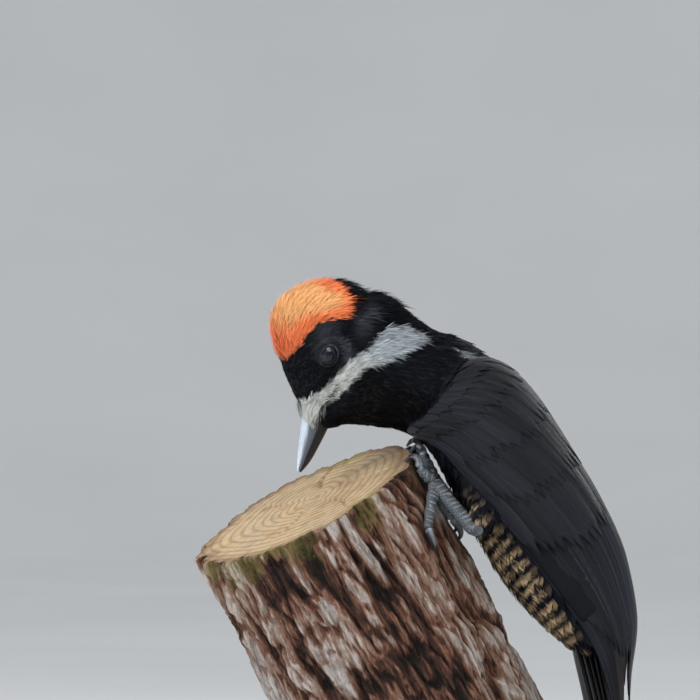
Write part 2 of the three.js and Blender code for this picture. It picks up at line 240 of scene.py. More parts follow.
@dataclass
class Net:
    """A mesh being made: its points, its faces and what is painted on it."""

    points: Array
    quads: Array
    triangles: Array = field(default_factory=lambda: np.zeros((0, 3), int))
    paint: dict[str, Array] = field(default_factory=dict)
    bake: Array | None = None  # places on the map
    slots: Array | None = None  # the number of each face's finish

    @staticmethod
    def capped(rings: Array, ends: Sequence[Array] | None = None) -> "Net":
        """A closed body from a stack of rings.

        Args:
            rings: Points, [rings, points in each, 3].
            ends: The middles of its two end faces, where they aren't those of the end rings.

        Returns:
            The net, with its faces turned outwards.
        """
        rows, columns = rings.shape[:2]
        count, last = rows * columns, (rows - 1) * columns
        k = np.arange(columns)
        beside = (k + 1) % columns
        caps = np.concatenate([
            np.stack([np.full(columns, count), beside, k], -1),
            np.stack([np.full(columns, count + 1), last + k, last + beside], -1),
        ])
        ends = [rings[0].mean(0), rings[-1].mean(0)] if ends is None else ends
        points = np.concatenate([rings.reshape(-1, 3), ends])
        return Net(points, grid_quads(rows, columns, closed=True), caps).turned_out()

    @staticmethod
    def joined(nets: Sequence["Net"]) -> "Net":
        """Joins several nets that carry the same paint.

        Args:
            nets: The nets, all with their slots set or all without.

        Returns:
            One net.
        """
        starts = np.cumsum([0] + [len(net.points) for net in nets[:-1]])
        net = Net(
            np.concatenate([net.points for net in nets]),
            np.concatenate([net.quads + start for net, start in zip(nets, starts)]),
            np.concatenate([net.triangles + start for net, start in zip(nets, starts)]),
            {key: np.concatenate([net.paint[key] for net in nets]) for key in nets[0].paint},
        )
        if nets[0].bake is not None:
            net.bake = np.concatenate([part.bake for part in nets])
        if nets[0].slots is not None:
            quads = [part.slots[: len(part.quads)] for part in nets]
            triangles = [part.slots[len(part.quads) :] for part in nets]
            net.slots = np.concatenate(quads + triangles)
        return net

    def flipped(self) -> "Net":
        """The same net with its faces turned over."""
        self.quads, self.triangles = self.quads[:, ::-1], self.triangles[:, ::-1]
        return self

    def turned_out(self) -> "Net":
        """The same closed net with its faces turned outwards.

        Returns:
            This net.
        """
        corners = np.concatenate([self.quads[:, [0, 1, 2]], self.quads[:, [0, 2, 3]], self.triangles])
        a, b, c = (self.points[corners[:, k]] for k in range(3))
        return self.flipped() if np.sum(a * np.cross(b, c)) < 0 else self

    def facing(self, out: Array) -> "Net":
        """The same open net with its faces turned to a way, or to a way for each quad."""
        a, b, _, d = (self.points[self.quads[:, k]] for k in range(4))
        return self.flipped() if np.sum(np.cross(b - a, d - a) * out) < 0 else self

    def mesh(self, name: str) -> bpy.types.Mesh:
        """Makes the Blender mesh, in metres, with its paint and its map.

        Args:
            name: The mesh's name.

        Returns:
            The mesh.
        """
        mesh = bpy.data.meshes.new(name)
        corners = np.concatenate([self.quads.ravel(), self.triangles.ravel()]).astype(np.int32)
        quads = len(self.quads)
        starts = np.concatenate([np.arange(quads) * 4, quads * 4 + np.arange(len(self.triangles)) * 3])
        mesh.vertices.add(len(self.points))
        mesh.vertices.foreach_set("co", (self.points * MM).astype(np.float32).ravel())
        mesh.loops.add(len(corners))
        mesh.loops.foreach_set("vertex_index", corners)
        mesh.polygons.add(len(starts))
        mesh.polygons.foreach_set("loop_start", starts.astype(np.int32))
        if self.slots is not None:
            mesh.polygons.foreach_set("material_index", self.slots.astype(np.int32))
        mesh.update(calc_edges=True)
        for key, values in self.paint.items():
            kind, part = ("FLOAT_COLOR", "color") if values.shape[-1] == 4 else ("FLOAT_VECTOR", "vector")
            layer = mesh.attributes.new(key, kind, "POINT")
            layer.data.foreach_set(part, values.astype(np.float32).ravel())
        if self.bake is not None:
            places = self.bake[corners].astype(np.float32).ravel()
            mesh.uv_layers.new(name="OFBake").data.foreach_set("uv", places)
        mesh.shade_smooth()
        return mesh

    def piece(self, name: str, slot: str, finishes: Sequence[Finish]) -> Piece:
        """Makes an object that rides with the part.

        Args:
            name: The piece's name.
            slot: The record's material slot. Not used.
            finishes: The materials that slots points at.

        Returns:
            The object.
        """
        mesh = self.mesh(name)
        for finish in finishes:
            mesh.materials.append(finish)
        piece = placed(name, mesh)
        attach(piece, "root")
        count = len(mesh.polygons)
        LOG.info("%s: %d faces, %d triangles", name, count, len(mesh.loops) - 2 * count)
        return piece


def placed(name: str, data: bpy.types.ID) -> Piece:
    """Puts a new object in the scene.

    Args:
        name: Its name.
        data: Its mesh, light or camera.

    Returns:
        The object.
    """
    thing = bpy.data.objects.new(name, data)
    bpy.context.scene.collection.objects.link(thing)
    return thing


def lathe(profile: Sequence[Sequence[float]], columns: int, x: float = 0.0) -> Array:
    """Rings of points round an upright axis at x, from [radius, height] of each ring."""
    turn = turns(columns)
    return np.stack([
        np.stack([x + r * np.cos(turn), r * np.sin(turn), np.full_like(turn, z)], -1) for r, z in profile
    ])


def tube_net(line: Array, reach: Surface, columns: int, seam: Array) -> Net:
    """A closed round body along a line.

    Args:
        line: Points of its middle, one for each row.
        reach: Gives the radius from the share of the length and the angle from the seam.
        columns: Points around it.
        seam: The way that angle 0 looks.

    Returns:
        The net, with paint "way" of share and angle.
    """
    ahead = unit(np.gradient(line, axis=0))
    top = unit(seam - np.sum(seam * ahead, -1, keepdims=True) * ahead)
    side = np.cross(ahead, top)
    share = np.linspace(0, 1, len(line))[:, None]
    angle = turns(columns)[None]
    rings = line[:, None] + reach(share, angle)[..., None] * swing(angle, top[:, None], side[:, None])
    way = np.stack(np.broadcast_arrays(share, angle), -1).reshape(-1, 2)
    net = Net.capped(rings)
    net.paint["way"] = np.concatenate([way, [[0, 0], [1, 0]]])
    return net


def smooth_line(points: Array, rows: int) -> Array:
    """Even steps along a smooth line.

    Args:
        points: Points that the line passes through.
        rows: How many steps to give.

    Returns:
        The points of the steps.
    """
    dense = read_table(points, np.linspace(0, 1, 400))
    run = way_run(dense)
    at = np.linspace(0, run[-1], rows)
    return np.stack([np.interp(at, run, dense[:, k]) for k in range(3)], -1)


# ---- The bird's frames ----


@dataclass(frozen=True)
class HeadAxes:
    """The head's own axes: back from the bill, up to the crown, and left.

    The head is rolled about the line of its bill, so that the crown leans to the left. The roll
    fades out down the neck, and level() undoes it, so that markings can be laid out the same on
    both sides.
    """

    origin: tuple[float, float, float] = (-58.2, -2.5, 279.9)
    slant: float = math.radians(18.4)
    roll: float = math.radians(20)
    fade: tuple[float, float] = (-40, -12)  # x over which the roll fades out

    @property
    def back(self) -> Array:
        """The way from the bill to the nape."""
        return np.array([math.sin(self.slant), 0, math.cos(self.slant)])

    @property
    def level_up(self) -> Array:
        """The way up to the crown before the head rolls."""
        return np.array([-math.cos(self.slant), 0, math.sin(self.slant)])

    @property
    def up(self) -> Array:
        """The way up to the crown."""
        return math.cos(self.roll) * self.level_up + math.sin(self.roll) * NEAR

    @property
    def left(self) -> Array:
        """The way to the bird's left cheek."""
        return math.cos(self.roll) * NEAR - math.sin(self.roll) * self.level_up

    def place(self, back: Array | float, up: Array | float, left: Array | float) -> Array:
        """Points from places in the head's axes."""
        parts = (np.asarray(v, float)[..., None] for v in np.broadcast_arrays(back, up, left))
        return np.array(self.origin) + sum(v * way for v, way in zip(parts, (self.back, self.up, self.left)))

    def level(self, points: Array) -> Array:
        """Places in the head's axes with its roll undone.

        Args:
            points: The points.

        Returns:
            [back, up, left] of each.
        """
        offset = points - np.array(self.origin)
        turn = self.roll * (1 - ease(*self.fade, points[..., 0]))
        up, left = offset @ self.level_up, offset @ NEAR
        rolled = (up * np.cos(turn) + left * np.sin(turn), left * np.cos(turn) - up * np.sin(turn))
        return np.stack([offset @ self.back, *rolled], -1)


@dataclass(frozen=True)
class BodyLine:
    """The middle line of the body, with oval sections.

    Each station is [x, z, dorsal, ventral, side]: its middle, and how far the coat reaches.
    """

    stations: tuple = (
        (-12.5, 297.8, 25, 25, 24),
        (-1.3, 290.7, 30, 26, 29),
        (12.5, 276.5, 32, 22, 32.5),
        (29, 251.5, 32, 24, 34.5),
        (45, 226.5, 31, 26, 32.5),
        (59.5, 202, 28, 23.5, 27),
        (71, 180.5, 20, 16, 20),
        (77.5, 158, 10, 8, 17),
        (81.3, 132, 6, 4.5, 14.5),
        (84.5, 108, 4.5, 4, 12),
    )
    samples: int = 400

    def point(self, share: Array, angle: Array, lift: Array | float = 0) -> Array:
        """Points on the coat.

        Args:
            share: How far along the line.
            angle: From the middle of the back to the left, in radians.
            lift: How far they stand off the coat.

        Returns:
            The points.
        """
        share, angle, lift = np.broadcast_arrays(np.asarray(share, float), angle, lift)
        x, z, dorsal, ventral, side = np.moveaxis(read_table(self.stations, share), -1, 0)
        rise = np.cos(angle) * np.where(np.cos(angle) > 0, dorsal, ventral)
        offset = back_way(self.stations, share) * rise[..., None] + NEAR * (np.sin(angle) * side)[..., None]
        reach = 1 + lift / np.linalg.norm(offset, axis=-1)
        return np.stack([x, np.zeros_like(x), z], -1) + offset * reach[..., None]

    def locate(self, points: Array) -> tuple[Array, Array]:
        """Where some points lie along and round the body.

        Args:
            points: The points.

        Returns:
            Their shares of the line, and their angles from the middle of the back.
        """
        shares = np.linspace(0, 1, self.samples)
        line = read_table(self.stations, shares)[:, :2]
        flat = points[:, [0, 2]]
        nearest = nearest_row(flat, line)
        share = shares[nearest]
        rise = np.sum((flat - line[nearest]) * back_way(self.stations, share)[:, [0, 2]], -1)
        return share, np.arctan2(-points[:, 1], rise)


@dataclass(frozen=True)
class PerchFrame:
    """Places on the leaning trunk.

    A place is [along, around, above]: how far down from the rim, the angle from the bird's side
    towards its left in degrees, and the height over the bark.
    """

    lean: float = math.radians(27)
    radius: float = 55
    rim: tuple[float, float, float] = (-8.5, 0, 262.9)
    foot: float = 51  # height of the level lower end
    saw_slope: float = math.tan(math.radians(12))
    waves: tuple = ((5, 0.03, 1.3), (9, -0.04, 0.9), (14, 0.05, 0.5))  # [times round, twist, height]

    @property
    def down(self) -> Array:
        """The way down along the trunk."""
        return np.array([math.sin(self.lean), 0, -math.cos(self.lean)])

    @property
    def out(self) -> Array:
        """The way from the trunk to the bird."""
        return np.array([math.cos(self.lean), 0, math.sin(self.lean)])

    @property
    def top(self) -> Array:
        """The middle of the sawn end."""
        return np.array(self.rim) - self.out * self.radius

    def point(self, along: Array, angle: Array, reach: Array) -> Array:
        """Points at a distance from the trunk's axis."""
        along, angle, reach = (np.asarray(v, float) for v in np.broadcast_arrays(along, angle, reach))
        return self.top + self.down * along[..., None] + reach[..., None] * swing(angle, self.out, NEAR)

    def place(self, place: Sequence[float], side: int) -> Array:
        """A point of a foot on the bark."""
        along, around, above = place
        return self.point(along + FOOT_SHIFTS[side], math.radians(around * side), self.radius + above)

    def relief(self, angle: Array, along: Array) -> Array:
        """The broad waves of the bark."""
        return sum(high * np.sin(n * angle + k * along + n) for n, k, high in self.waves)

    def ends(self, angle: Array, reach: Array) -> tuple[Array, Array]:
        """How far down the sawn end and the level foot are, at a distance from the axis."""
        foot = (self.top[2] + reach * np.cos(angle) * self.out[2] - self.foot) / -self.down[2]
        return self.saw_slope * reach * np.sin(angle), foot

    def radial(self, points: Array) -> Array:
        """The offsets of some points, square to the trunk's axis."""
        offset = points - self.top
        return offset - (offset @ self.down)[:, None] * self.down


HEAD = HeadAxes()
BODY = BodyLine()
PERCH = PerchFrame()


# ---- Finishes ----


class Tone(Enum):
    """Colours of the bird and its perch, as linear red, green and blue."""

    FACE_BLACK = (0.0048, 0.0056, 0.0082)
    # black of the gape line, and of the throat, which is painted darker than the face as painted shade under
    # the head
    THROAT_SHADE_AND_GAPE_BLACK = (0.0026, 0.0026, 0.0032)
    BACK_BLACK = (0.0064, 0.0072, 0.0108)
    TAIL_BLACK = (0.0100, 0.0096, 0.0105)
    # grey of the ear patch and of the ring behind the eye, and of a painted sheen over the brow
    GREY_AND_SHEEN = (0.060, 0.066, 0.079)
    CROWN_GOLD = (0.93, 0.48, 0.190)
    CROWN_ORANGE = (0.99, 0.245, 0.085)
    STRIPE_CREAM = (0.70, 0.72, 0.68)
    STRIPE_GREY = (0.46, 0.51, 0.55)
    BELLY_BUFF = (0.30, 0.215, 0.125)
    WORN_BROWN = (0.050, 0.036, 0.026)
    FEATHER_TIP = (0.42, 0.38, 0.31)
    SLATE = (0.046, 0.055, 0.074)
    # pale horn, also the colour of painted highlights along the culmen and on the tip
    PALE_HORN_AND_HIGHLIGHT = (0.46, 0.52, 0.60)
    DARK_HORN = (0.012, 0.014, 0.019)
    FOOT_SLATE = (0.040, 0.046, 0.053)
    FOOT_EDGE = (0.34, 0.37, 0.39)
    LID_GREY = (0.070, 0.074, 0.084)
    IRIS = (0.007, 0.010, 0.018)
    PUPIL = (0.002, 0.002, 0.003)

    def rows(self, count: int) -> Array:
        """The same colour many times, with full cover."""
        return np.tile(np.array([*self.value, 1.0]), (count, 1))


class Graph:
    """The nodes of one finish, with short calls for what they need."""

    def __init__(self, name: str, **shader: float | tuple) -> None:
        """Starts a finish.

        Args:
            name: The material's name.
            shader: Values of the shader's own sockets, with _ for a space.
        """
        self.material = bpy.data.materials.new(name)
        self.material.use_nodes = True
        self.tree = self.material.node_tree
        self.shader = self.tree.nodes["Principled BSDF"]
        for key, value in shader.items():
            self.shader.inputs[key.replace("_", " ")].default_value = value

    def node(self, kind: str, sockets: dict, **settings: object) -> bpy.types.Node:
        """A node with its sockets linked or set.

        Args:
            kind: The node's type, without its prefix.
            sockets: What goes into each socket, by name or number.
            settings: The node's own settings.

        Returns:
            The node.
        """
        node = self.tree.nodes.new("ShaderNode" + kind)
        for key, value in settings.items():
            setattr(node, key, value)
        for key, value in sockets.items():
            if isinstance(value, Socket):
                self.tree.links.new(value, node.inputs[key])
            else:
                node.inputs[key].default_value = value
        return node

    def attribute(self, name: str) -> bpy.types.Node:
        """What is painted on the mesh under a name."""
        return self.node("Attribute", {}, attribute_name=name)

    def parts(self, vector: Socket) -> list[Socket]:
        """The three numbers of a vector."""
        return list(self.node("SeparateXYZ", {0: vector}).outputs)

    def place(self, stretch: tuple[float, float, float] = (1, 1, 1)) -> Socket:
        """Places on the object in millimetres, stretched."""
        where = self.node("TexCoord", {}).outputs["Object"]
        return self.node("Mapping", {0: where, "Scale": tuple(value / MM for value in stretch)}).outputs[0]

    def noise(self, where: Socket, scale: float, detail: float = 3, rough: float = 0.55) -> Socket:
        """Random values from 0 to 1, with scale cells for each unit of the place."""
        sockets = {"Vector": where, "Scale": scale, "Detail": detail, "Roughness": rough}
        return self.node("TexNoise", sockets).outputs[0]

    def math(self, operation: str, first: Socket | float, second: Socket | float = 0.0) -> Socket:
        """One step of sums."""
        return self.node("Math", {0: first, 1: second}, operation=operation).outputs[0]

    def times(self, first: Socket, second: Socket | float) -> Socket:
        """One value times another."""
        return self.math("MULTIPLY", first, second)

    def waves(self, turn: Socket) -> Socket:
        """Even waves from 0 to 1, one for each unit."""
        return self.span(self.math("SINE", self.times(turn, math.tau)), -1, 1, 0, 1)

    def span(self, value: Socket, low: float, high: float, start: float, stop: float) -> Socket:
        """A value taken from one span to another, and kept in it."""
        sockets = {"Value": value, "From Min": low, "From Max": high, "To Min": start, "To Max": stop}
        return self.node("MapRange", sockets).outputs[0]

    def mix(self, share: Socket, first: Socket, second: Socket | tuple) -> Socket:
        """Two colours mixed."""
        second = second if isinstance(second, Socket) else (*second, 1.0)
        return self.node("Mix", {0: share, 6: first, 7: second}, data_type="RGBA").outputs[2]

    def ramp(self, value: Socket, stops: Sequence[tuple[float, tuple[float, float, float]]]) -> Socket:
        """Colours along a value.

        Args:
            value: What the colours follow, from 0 to 1.
            stops: A place and a colour for each stop, in order.

        Returns:
            The colour.
        """
        node = self.node("ValToRGB", {0: value})
        elements = node.color_ramp.elements
        for at, _ in stops[2:]:
            elements.new(at)
        for element, (at, colour) in zip(elements, stops):
            element.position = at
            element.color = (*colour, 1.0)
        return node.outputs[0]

    def shaded(self, colour: Socket, value: Socket, low: float, high: float) -> Socket:
        """A colour made darker or lighter by a value from 0 to 1."""
        light = self.span(value, 0, 1, low, high)
        return self.node("VectorMath", {0: colour, "Scale": light}, operation="SCALE").outputs[0]

    def bump(self, height: Socket, depth: float, below: Socket | None = None) -> Socket:
        """Normals from a height of 0 to 1 that stands for depth millimetres."""
        sockets = {"Height": height, "Distance": depth * MM, "Strength": 1.0}
        return self.node("Bump", sockets if below is None else {**sockets, "Normal": below}).outputs[0]

    def finish(self, colour: Socket, roughness: Socket, normal: Socket | None = None) -> Finish:
        """Links the last results to the shader.

        Args:
            colour: The base colour.
            roughness: How rough it is.
            normal: The bumped normals.

        Returns:
            The material.
        """
        for key, value in (("Base Color", colour), ("Roughness", roughness), ("Normal", normal)):
            if value is not None:
                self.tree.links.new(value, self.shader.inputs[key])
        return self.material


@dataclass(frozen=True)
class FeatherFinish:
    """Feathers painted with "tint", whose barbs run aslant from the shaft in "vane", with painted shade at
    their roots and between their barbs.
    """

    name: str
    roughness: float = 0.6
    sheen: float = 0.02
    gloss: float = 0.12
    unlike: tuple[float, float] = (0.55, 1.5)  # how much feathers differ in shade
    barbs: float = 30  # along one feather
    slant: float = 9  # how many barbs their slant spans across half a feather
    barb_depth: float = 0.05
    # painted shade: how dark each feather is painted at its root, where the feathers over it shade it
    root_painted_shade: float = 0.5
    edge: float = 1.0  # shade of the vane's edges

    def make(self) -> Finish:
        """Builds the material.

        Returns:
            The material.
        """
        graph = Graph(
            self.name,
            Roughness=self.roughness,
            Specular_IOR_Level=self.gloss,
            Sheen_Weight=self.sheen,
            Sheen_Roughness=0.4,
        )
        across, along, chance = graph.parts(graph.attribute("vane").outputs["Vector"])
        aside = graph.math("ABSOLUTE", across)
        line = graph.math("ADD", graph.times(along, self.barbs), graph.times(aside, -self.slant))
        ragged = graph.noise(graph.place(), 1.4, 2)
        height = graph.waves(graph.math("ADD", line, graph.times(ragged, 1.5)))
        # painted shade: darker towards the root of each feather
        colour = graph.shaded(graph.attribute("tint").outputs["Color"], along, self.root_painted_shade, 1.0)
        colour = graph.shaded(colour, chance, *self.unlike)
        # painted shade: each barb is darker down in its groove, following the barbs' bump
        colour = graph.shaded(colour, height, 0.86, 1.06)
        colour = graph.shaded(colour, graph.span(aside, 0.72, 1, 0, 1), 1.0, self.edge)
        rough = graph.span(ragged, 0.3, 0.7, self.roughness - 0.07, self.roughness + 0.07)
        return graph.finish(colour, rough, graph.bump(height, self.barb_depth))


@dataclass(frozen=True)
class PaintedFinish:
    """Bare skin, horn or scales painted with "tint", with grain, mottling and fine bumps."""

    name: str
    roughness: float
    gloss: float = 0.5
    coat: float = 0.0
    uneven: float = 0.07  # how much its roughness changes
    grain: float = 2.0  # cells of the finest grain for each millimetre
    depth: float = 0.05
    stretch: tuple[float, float, float] = (1, 1, 1)
    mottle: tuple[float, float] = (0.85, 1.15)

    def make(self) -> Finish:
        """Builds the material.

        Returns:
            The material.
        """
        graph = Graph(
            self.name,
            Roughness=self.roughness,
            Specular_IOR_Level=self.gloss,
            Coat_Weight=self.coat,
            Coat_Roughness=0.12,
        )
        where = graph.place(self.stretch)
        fine = graph.noise(where, self.grain, 4)
        broad = graph.noise(where, self.grain / 7, 3)
        colour = graph.shaded(graph.attribute("tint").outputs["Color"], broad, *self.mottle)
        colour = graph.shaded(colour, fine, *self.mottle)
        rough = graph.span(fine, 0.3, 0.7, self.roughness - self.uneven, self.roughness + self.uneven)
        return graph.finish(colour, rough, graph.bump(fine, self.depth))


# ---- Markings and the lie of the coat ----


@dataclass(frozen=True)
class Markings:
    """Where the colours lie, the same for the skin and the coat.

    Edges are given in the head's level axes. Each depth is in millimetres, and above 0 inside.
    """

    crown_edge: tuple = (
        (13.5, 20), (15.5, 17.8), (18.5, 17.4), (26, 16.4), (33, 15.4), (38, 13.2), (42, 8.6),
        (45, 4.0), (49, 1.8), (52, 2.2), (55, 5), (58, 10), (60, 16),
    )  # [back, up] of the patch's lower edge
    crown_ends: tuple[float, float] = (13.8, 60.0)
    stripe: tuple = (
        (-2, -2.0, 5.5, 2.6), (4, -1.6, 9.5, 3.2), (10, -3.6, 14, 3.7), (16, -5.2, 17, 3.7),
        (22, -6.9, 19, 3.4), (28, -10.4, 21.5, 3.9), (34, -16.6, 22.6, 5.0), (39.5, -22.6, 20.4, 7.0),
        (43.5, -27.5, 17.8, 6.9), (49, -37, 15.5, 3.2), (51, -50, 15, 3.0), (49, -64, 14, 3.0),
        (46, -78, 9, 3.0), (43, -88, 2, 2.8),
    )  # [back, up, left, half width] along its middle
    far_slack: float = 0.6  # how much less the left distance counts on the head's other side
    gape: tuple[float, float, float] = (21.0, -4.9, 1.25)  # [back end, up, half width]
    gape_bend: float = 0.0117  # how it turns down behind the bill
    belly: tuple[float, float] = (0.30, 0.42)  # shares of the body over which the bars set in
    bar_pitch: float = 5.6
    bar_way: tuple[float, float, float] = (0.55, 0, -0.83)  # the way from bar to bar

    def crown(self, level: Array) -> Array:
        """Depth inside the coloured crown.

        Args:
            level: Places in the head's level axes.

        Returns:
            Depths in millimetres.
        """
        back, up = level[:, 0], level[:, 1]
        edge = np.array(self.crown_edge)
        start, stop = self.crown_ends
        depth = least(up - np.interp(back, edge[:, 0], edge[:, 1]), back - start, stop - back)
        return depth + 0.5 * value_noise(level * 0.7, 3)

    def stripe_depth(self, level: Array) -> Array:
        """Depth inside the pale stripe.

        Args:
            level: Places in the head's level axes.

        Returns:
            Depths in millimetres.
        """
        line = read_table(self.stripe, np.linspace(0, 1, 160))
        back, up, left = level.T
        places = np.stack([back, up, np.abs(left)], -1)
        nearest = np.argmin(np.hypot(back[:, None] - line[:, 0], up[:, None] - line[:, 1]), axis=1)
        slack = self.far_slack * ease(20, 30, back) * ease(-48, -40, up) * (left < 0)
        places[:, 2] += slack * (line[nearest, 2] - places[:, 2])

        def inside(part: Array) -> Array:
            """How deep in the stripe each place lies."""
            return np.max(line[:, 3] - np.linalg.norm(part[:, None] - line[None, :, :3], axis=-1), 1)

        return in_parts(inside, places) + 0.35 * value_noise(places * 0.8, 5)

    def gape_line(self, level: Array) -> Array:
        """Depth inside the dark line behind the corner of the bill.

        Args:
            level: Places in the head's level axes.

        Returns:
            Depths in millimetres.
        """
        end, up, half = self.gape
        bend = self.gape_bend * np.maximum(level[:, 0] - 9, 0) ** 2
        width = half * ease(end, end - 12, level[:, 0]) + 0.25 * value_noise(level * 1.1, 6)
        return width - np.abs(level[:, 1] - up + bend)

    def bars(self, points: Array) -> Array:
        """1 on the pale bars of the belly.

        Args:
            points: Places on the body.

        Returns:
            A value from 0 to 1 for each.
        """
        share, angle = BODY.locate(points)
        under = ease(1.85, 2.1, np.abs(angle)) * ease(*self.belly, share)
        run = points @ np.array(self.bar_way) + 1.3 * value_noise(points / 7, 8)
        run = run + 0.08 * np.abs(points[:, 1]) ** 1.3
        return under * ease(-0.15, 0.45, np.sin(run * math.tau / self.bar_pitch))

    def paint(self, points: Array) -> Array:
        """Colours of the coat.

        Args:
            points: Places on the skin.

        Returns:
            One row of red, green, blue and cover for each.
        """
        level = HEAD.level(points)
        back, up = level[:, 0], level[:, 1]
        flank = ease(-45, -70, up)
        colours = blend(Tone.FACE_BLACK.rows(len(points)), Tone.BACK_BLACK.rows(1), flank)
        # painted shade: the black throat is painted darker still than the face, as shade under the head
        throat_shade = ease(-9, -14, up) * (1 - flank) * ease(30, 20, back)
        colours = blend(colours, Tone.THROAT_SHADE_AND_GAPE_BLACK.rows(1), throat_shade)
        ear = np.exp(-(((back - 47) / 7) ** 2 + ((up + 6) / 4.5) ** 2)) * (np.abs(level[:, 2]) > 6)
        room = np.hypot(back - ZONES.eye[0], up - ZONES.eye[1])
        ring = hill(room, 7.2, 1.6) * ease(-5, 5, back - ZONES.eye[0])
        # painted sheen: a broad bluish grey over the brow above and behind the eye; the ear patch and the
        # ring behind the eye are grey feathers
        brow_sheen = 0.55 * np.exp(-(((back - 36) / 9) ** 2 + ((up - 9) / 5.5) ** 2))
        colours = blend(colours, Tone.GREY_AND_SHEEN.rows(1), np.maximum.reduce([0.8 * ear, 0.8 * ring, brow_sheen]))
        colours = blend(colours, Tone.BELLY_BUFF.rows(1), self.bars(points))
        stripe = self.stripe_depth(level)
        pale = blend(Tone.STRIPE_CREAM.rows(len(points)), Tone.STRIPE_GREY.rows(1), ease(24, 36, back))
        below = ease(9, 5, back) * ease(self.gape[1], self.gape[1] - 1, up)
        colours = blend(colours, pale, ease(-0.3, 0.6, stripe) * (1 - 0.75 * below))
        colours = blend(colours, Tone.STRIPE_CREAM.rows(1), ease(-0.5, 0.3, ZONES.nasal(points)))
        colours = blend(colours, Tone.THROAT_SHADE_AND_GAPE_BLACK.rows(1), 0.9 * ease(-0.3, 0.3, self.gape_line(level)))
        crown = self.crown(level)
        gold = ease(1.8, 8.0, crown) * ease(24, 38, back) * ease(57, 50, back)
        flame = blend(Tone.CROWN_ORANGE.rows(len(points)), Tone.CROWN_GOLD.rows(1), gold)
        return blend(colours, flame, ease(-0.2, 0.4, crown))


@dataclass(frozen=True)
class Lie:
    """Which way the coat lies: [x, z] of a place, then the way there."""

    anchors: tuple = (
        ((-58, 280), (0.32, 0.95)),
        ((-62, 322), (0.50, 0.86)),
        ((-40, 338), (0.90, 0.30)),
        ((-22, 330), (0.95, -0.30)),
        ((-38, 295), (0.80, 0.60)),
        ((-20, 310), (0.93, 0.10)),
        ((-40, 272), (0.98, 0.05)),
        ((-17, 298), (0.90, -0.35)),
        ((5, 285), (0.72, -0.69)),
        ((29, 251), (0.55, -0.84)),
        ((24, 240), (-0.25, -0.97)),
        ((19, 226), (-0.35, -0.94)),
        ((33, 226), (0.35, -0.94)),
        ((59, 202), (0.40, -0.92)),
        ((80, 150), (0.30, -0.95)),
    )
    power: float = 3.0

    def way(self, points: Array, normals: Array) -> Array:
        """Unit ways along the surface at some points.

        Args:
            points: Places on the skin.
            normals: The skin's normals there.

        Returns:
            A unit way for each.
        """
        places = np.array([place for place, _ in self.anchors], float)
        ways = np.array([way for _, way in self.anchors], float)
        gap = np.linalg.norm(points[:, None, [0, 2]] - places[None], axis=-1) + 3
        weight = gap**-self.power
        flat = (weight[..., None] * ways[None]).sum(1) / weight.sum(1, keepdims=True)
        way = np.stack([flat[:, 0], np.zeros(len(points)), flat[:, 1]], -1)
        return unit(way - np.sum(way * normals, -1, keepdims=True) * normals)


@dataclass(frozen=True)
class Unwrap:
    """An unwrap of the bird's own shape: round the line from its bill to its tail, and along it."""

    spine: tuple = (
        (-66, 257), (-57, 284), (-44, 301), (-28, 303), (-6, 294),
        (29, 251.5), (59.5, 202), (84.5, 108), (92, 70),
    )  # [x, z]
    patch: float = 0.003  # width of one tuft's own part of the map

    def place(self, points: Array) -> Array:
        """Places of some points on the map, before it is fitted to a piece.

        Args:
            points: Places on the bird.

        Returns:
            Two numbers for each.
        """
        line = read_table(self.spine, np.linspace(0, 1, 300))
        ahead = unit(np.gradient(line, axis=0))
        run = way_run(line)
        flat = points[:, [0, 2]]
        nearest = nearest_row(flat, line)
        offset = flat - line[nearest]
        rise = offset[:, 0] * -ahead[nearest, 1] + offset[:, 1] * ahead[nearest, 0]
        along = run[nearest] + np.sum(offset * ahead[nearest], -1)
        return np.stack([np.arctan2(-points[:, 1], rise) / math.tau + 0.5, along / run[-1]], -1)

    def tufts(self, roots: Array, across: Array, along: Array) -> Array:
        """Places of each point of many tufts, a small patch for each tuft.

        Args:
            roots: Where each tuft stands.
            across: From -1 to 1 over each tuft, [tufts, points].
            along: From 0 to 1 over each tuft, [tufts, points].

        Returns:
            Places from 0 to 1, [tufts, points, 2].
        """
        middle = self.place(roots)
        low, high = middle.min(0), middle.max(0)
        fitted = self.patch + (1 - 2 * self.patch) * (middle - low) / np.maximum(high - low, 1e-6)
        within = np.stack([across / 2, along - 0.5], -1) * self.patch
        return fitted[:, None] + within


MARKINGS = Markings()
LIE = Lie()
UNWRAP = Unwrap()


# ---- The skin ----


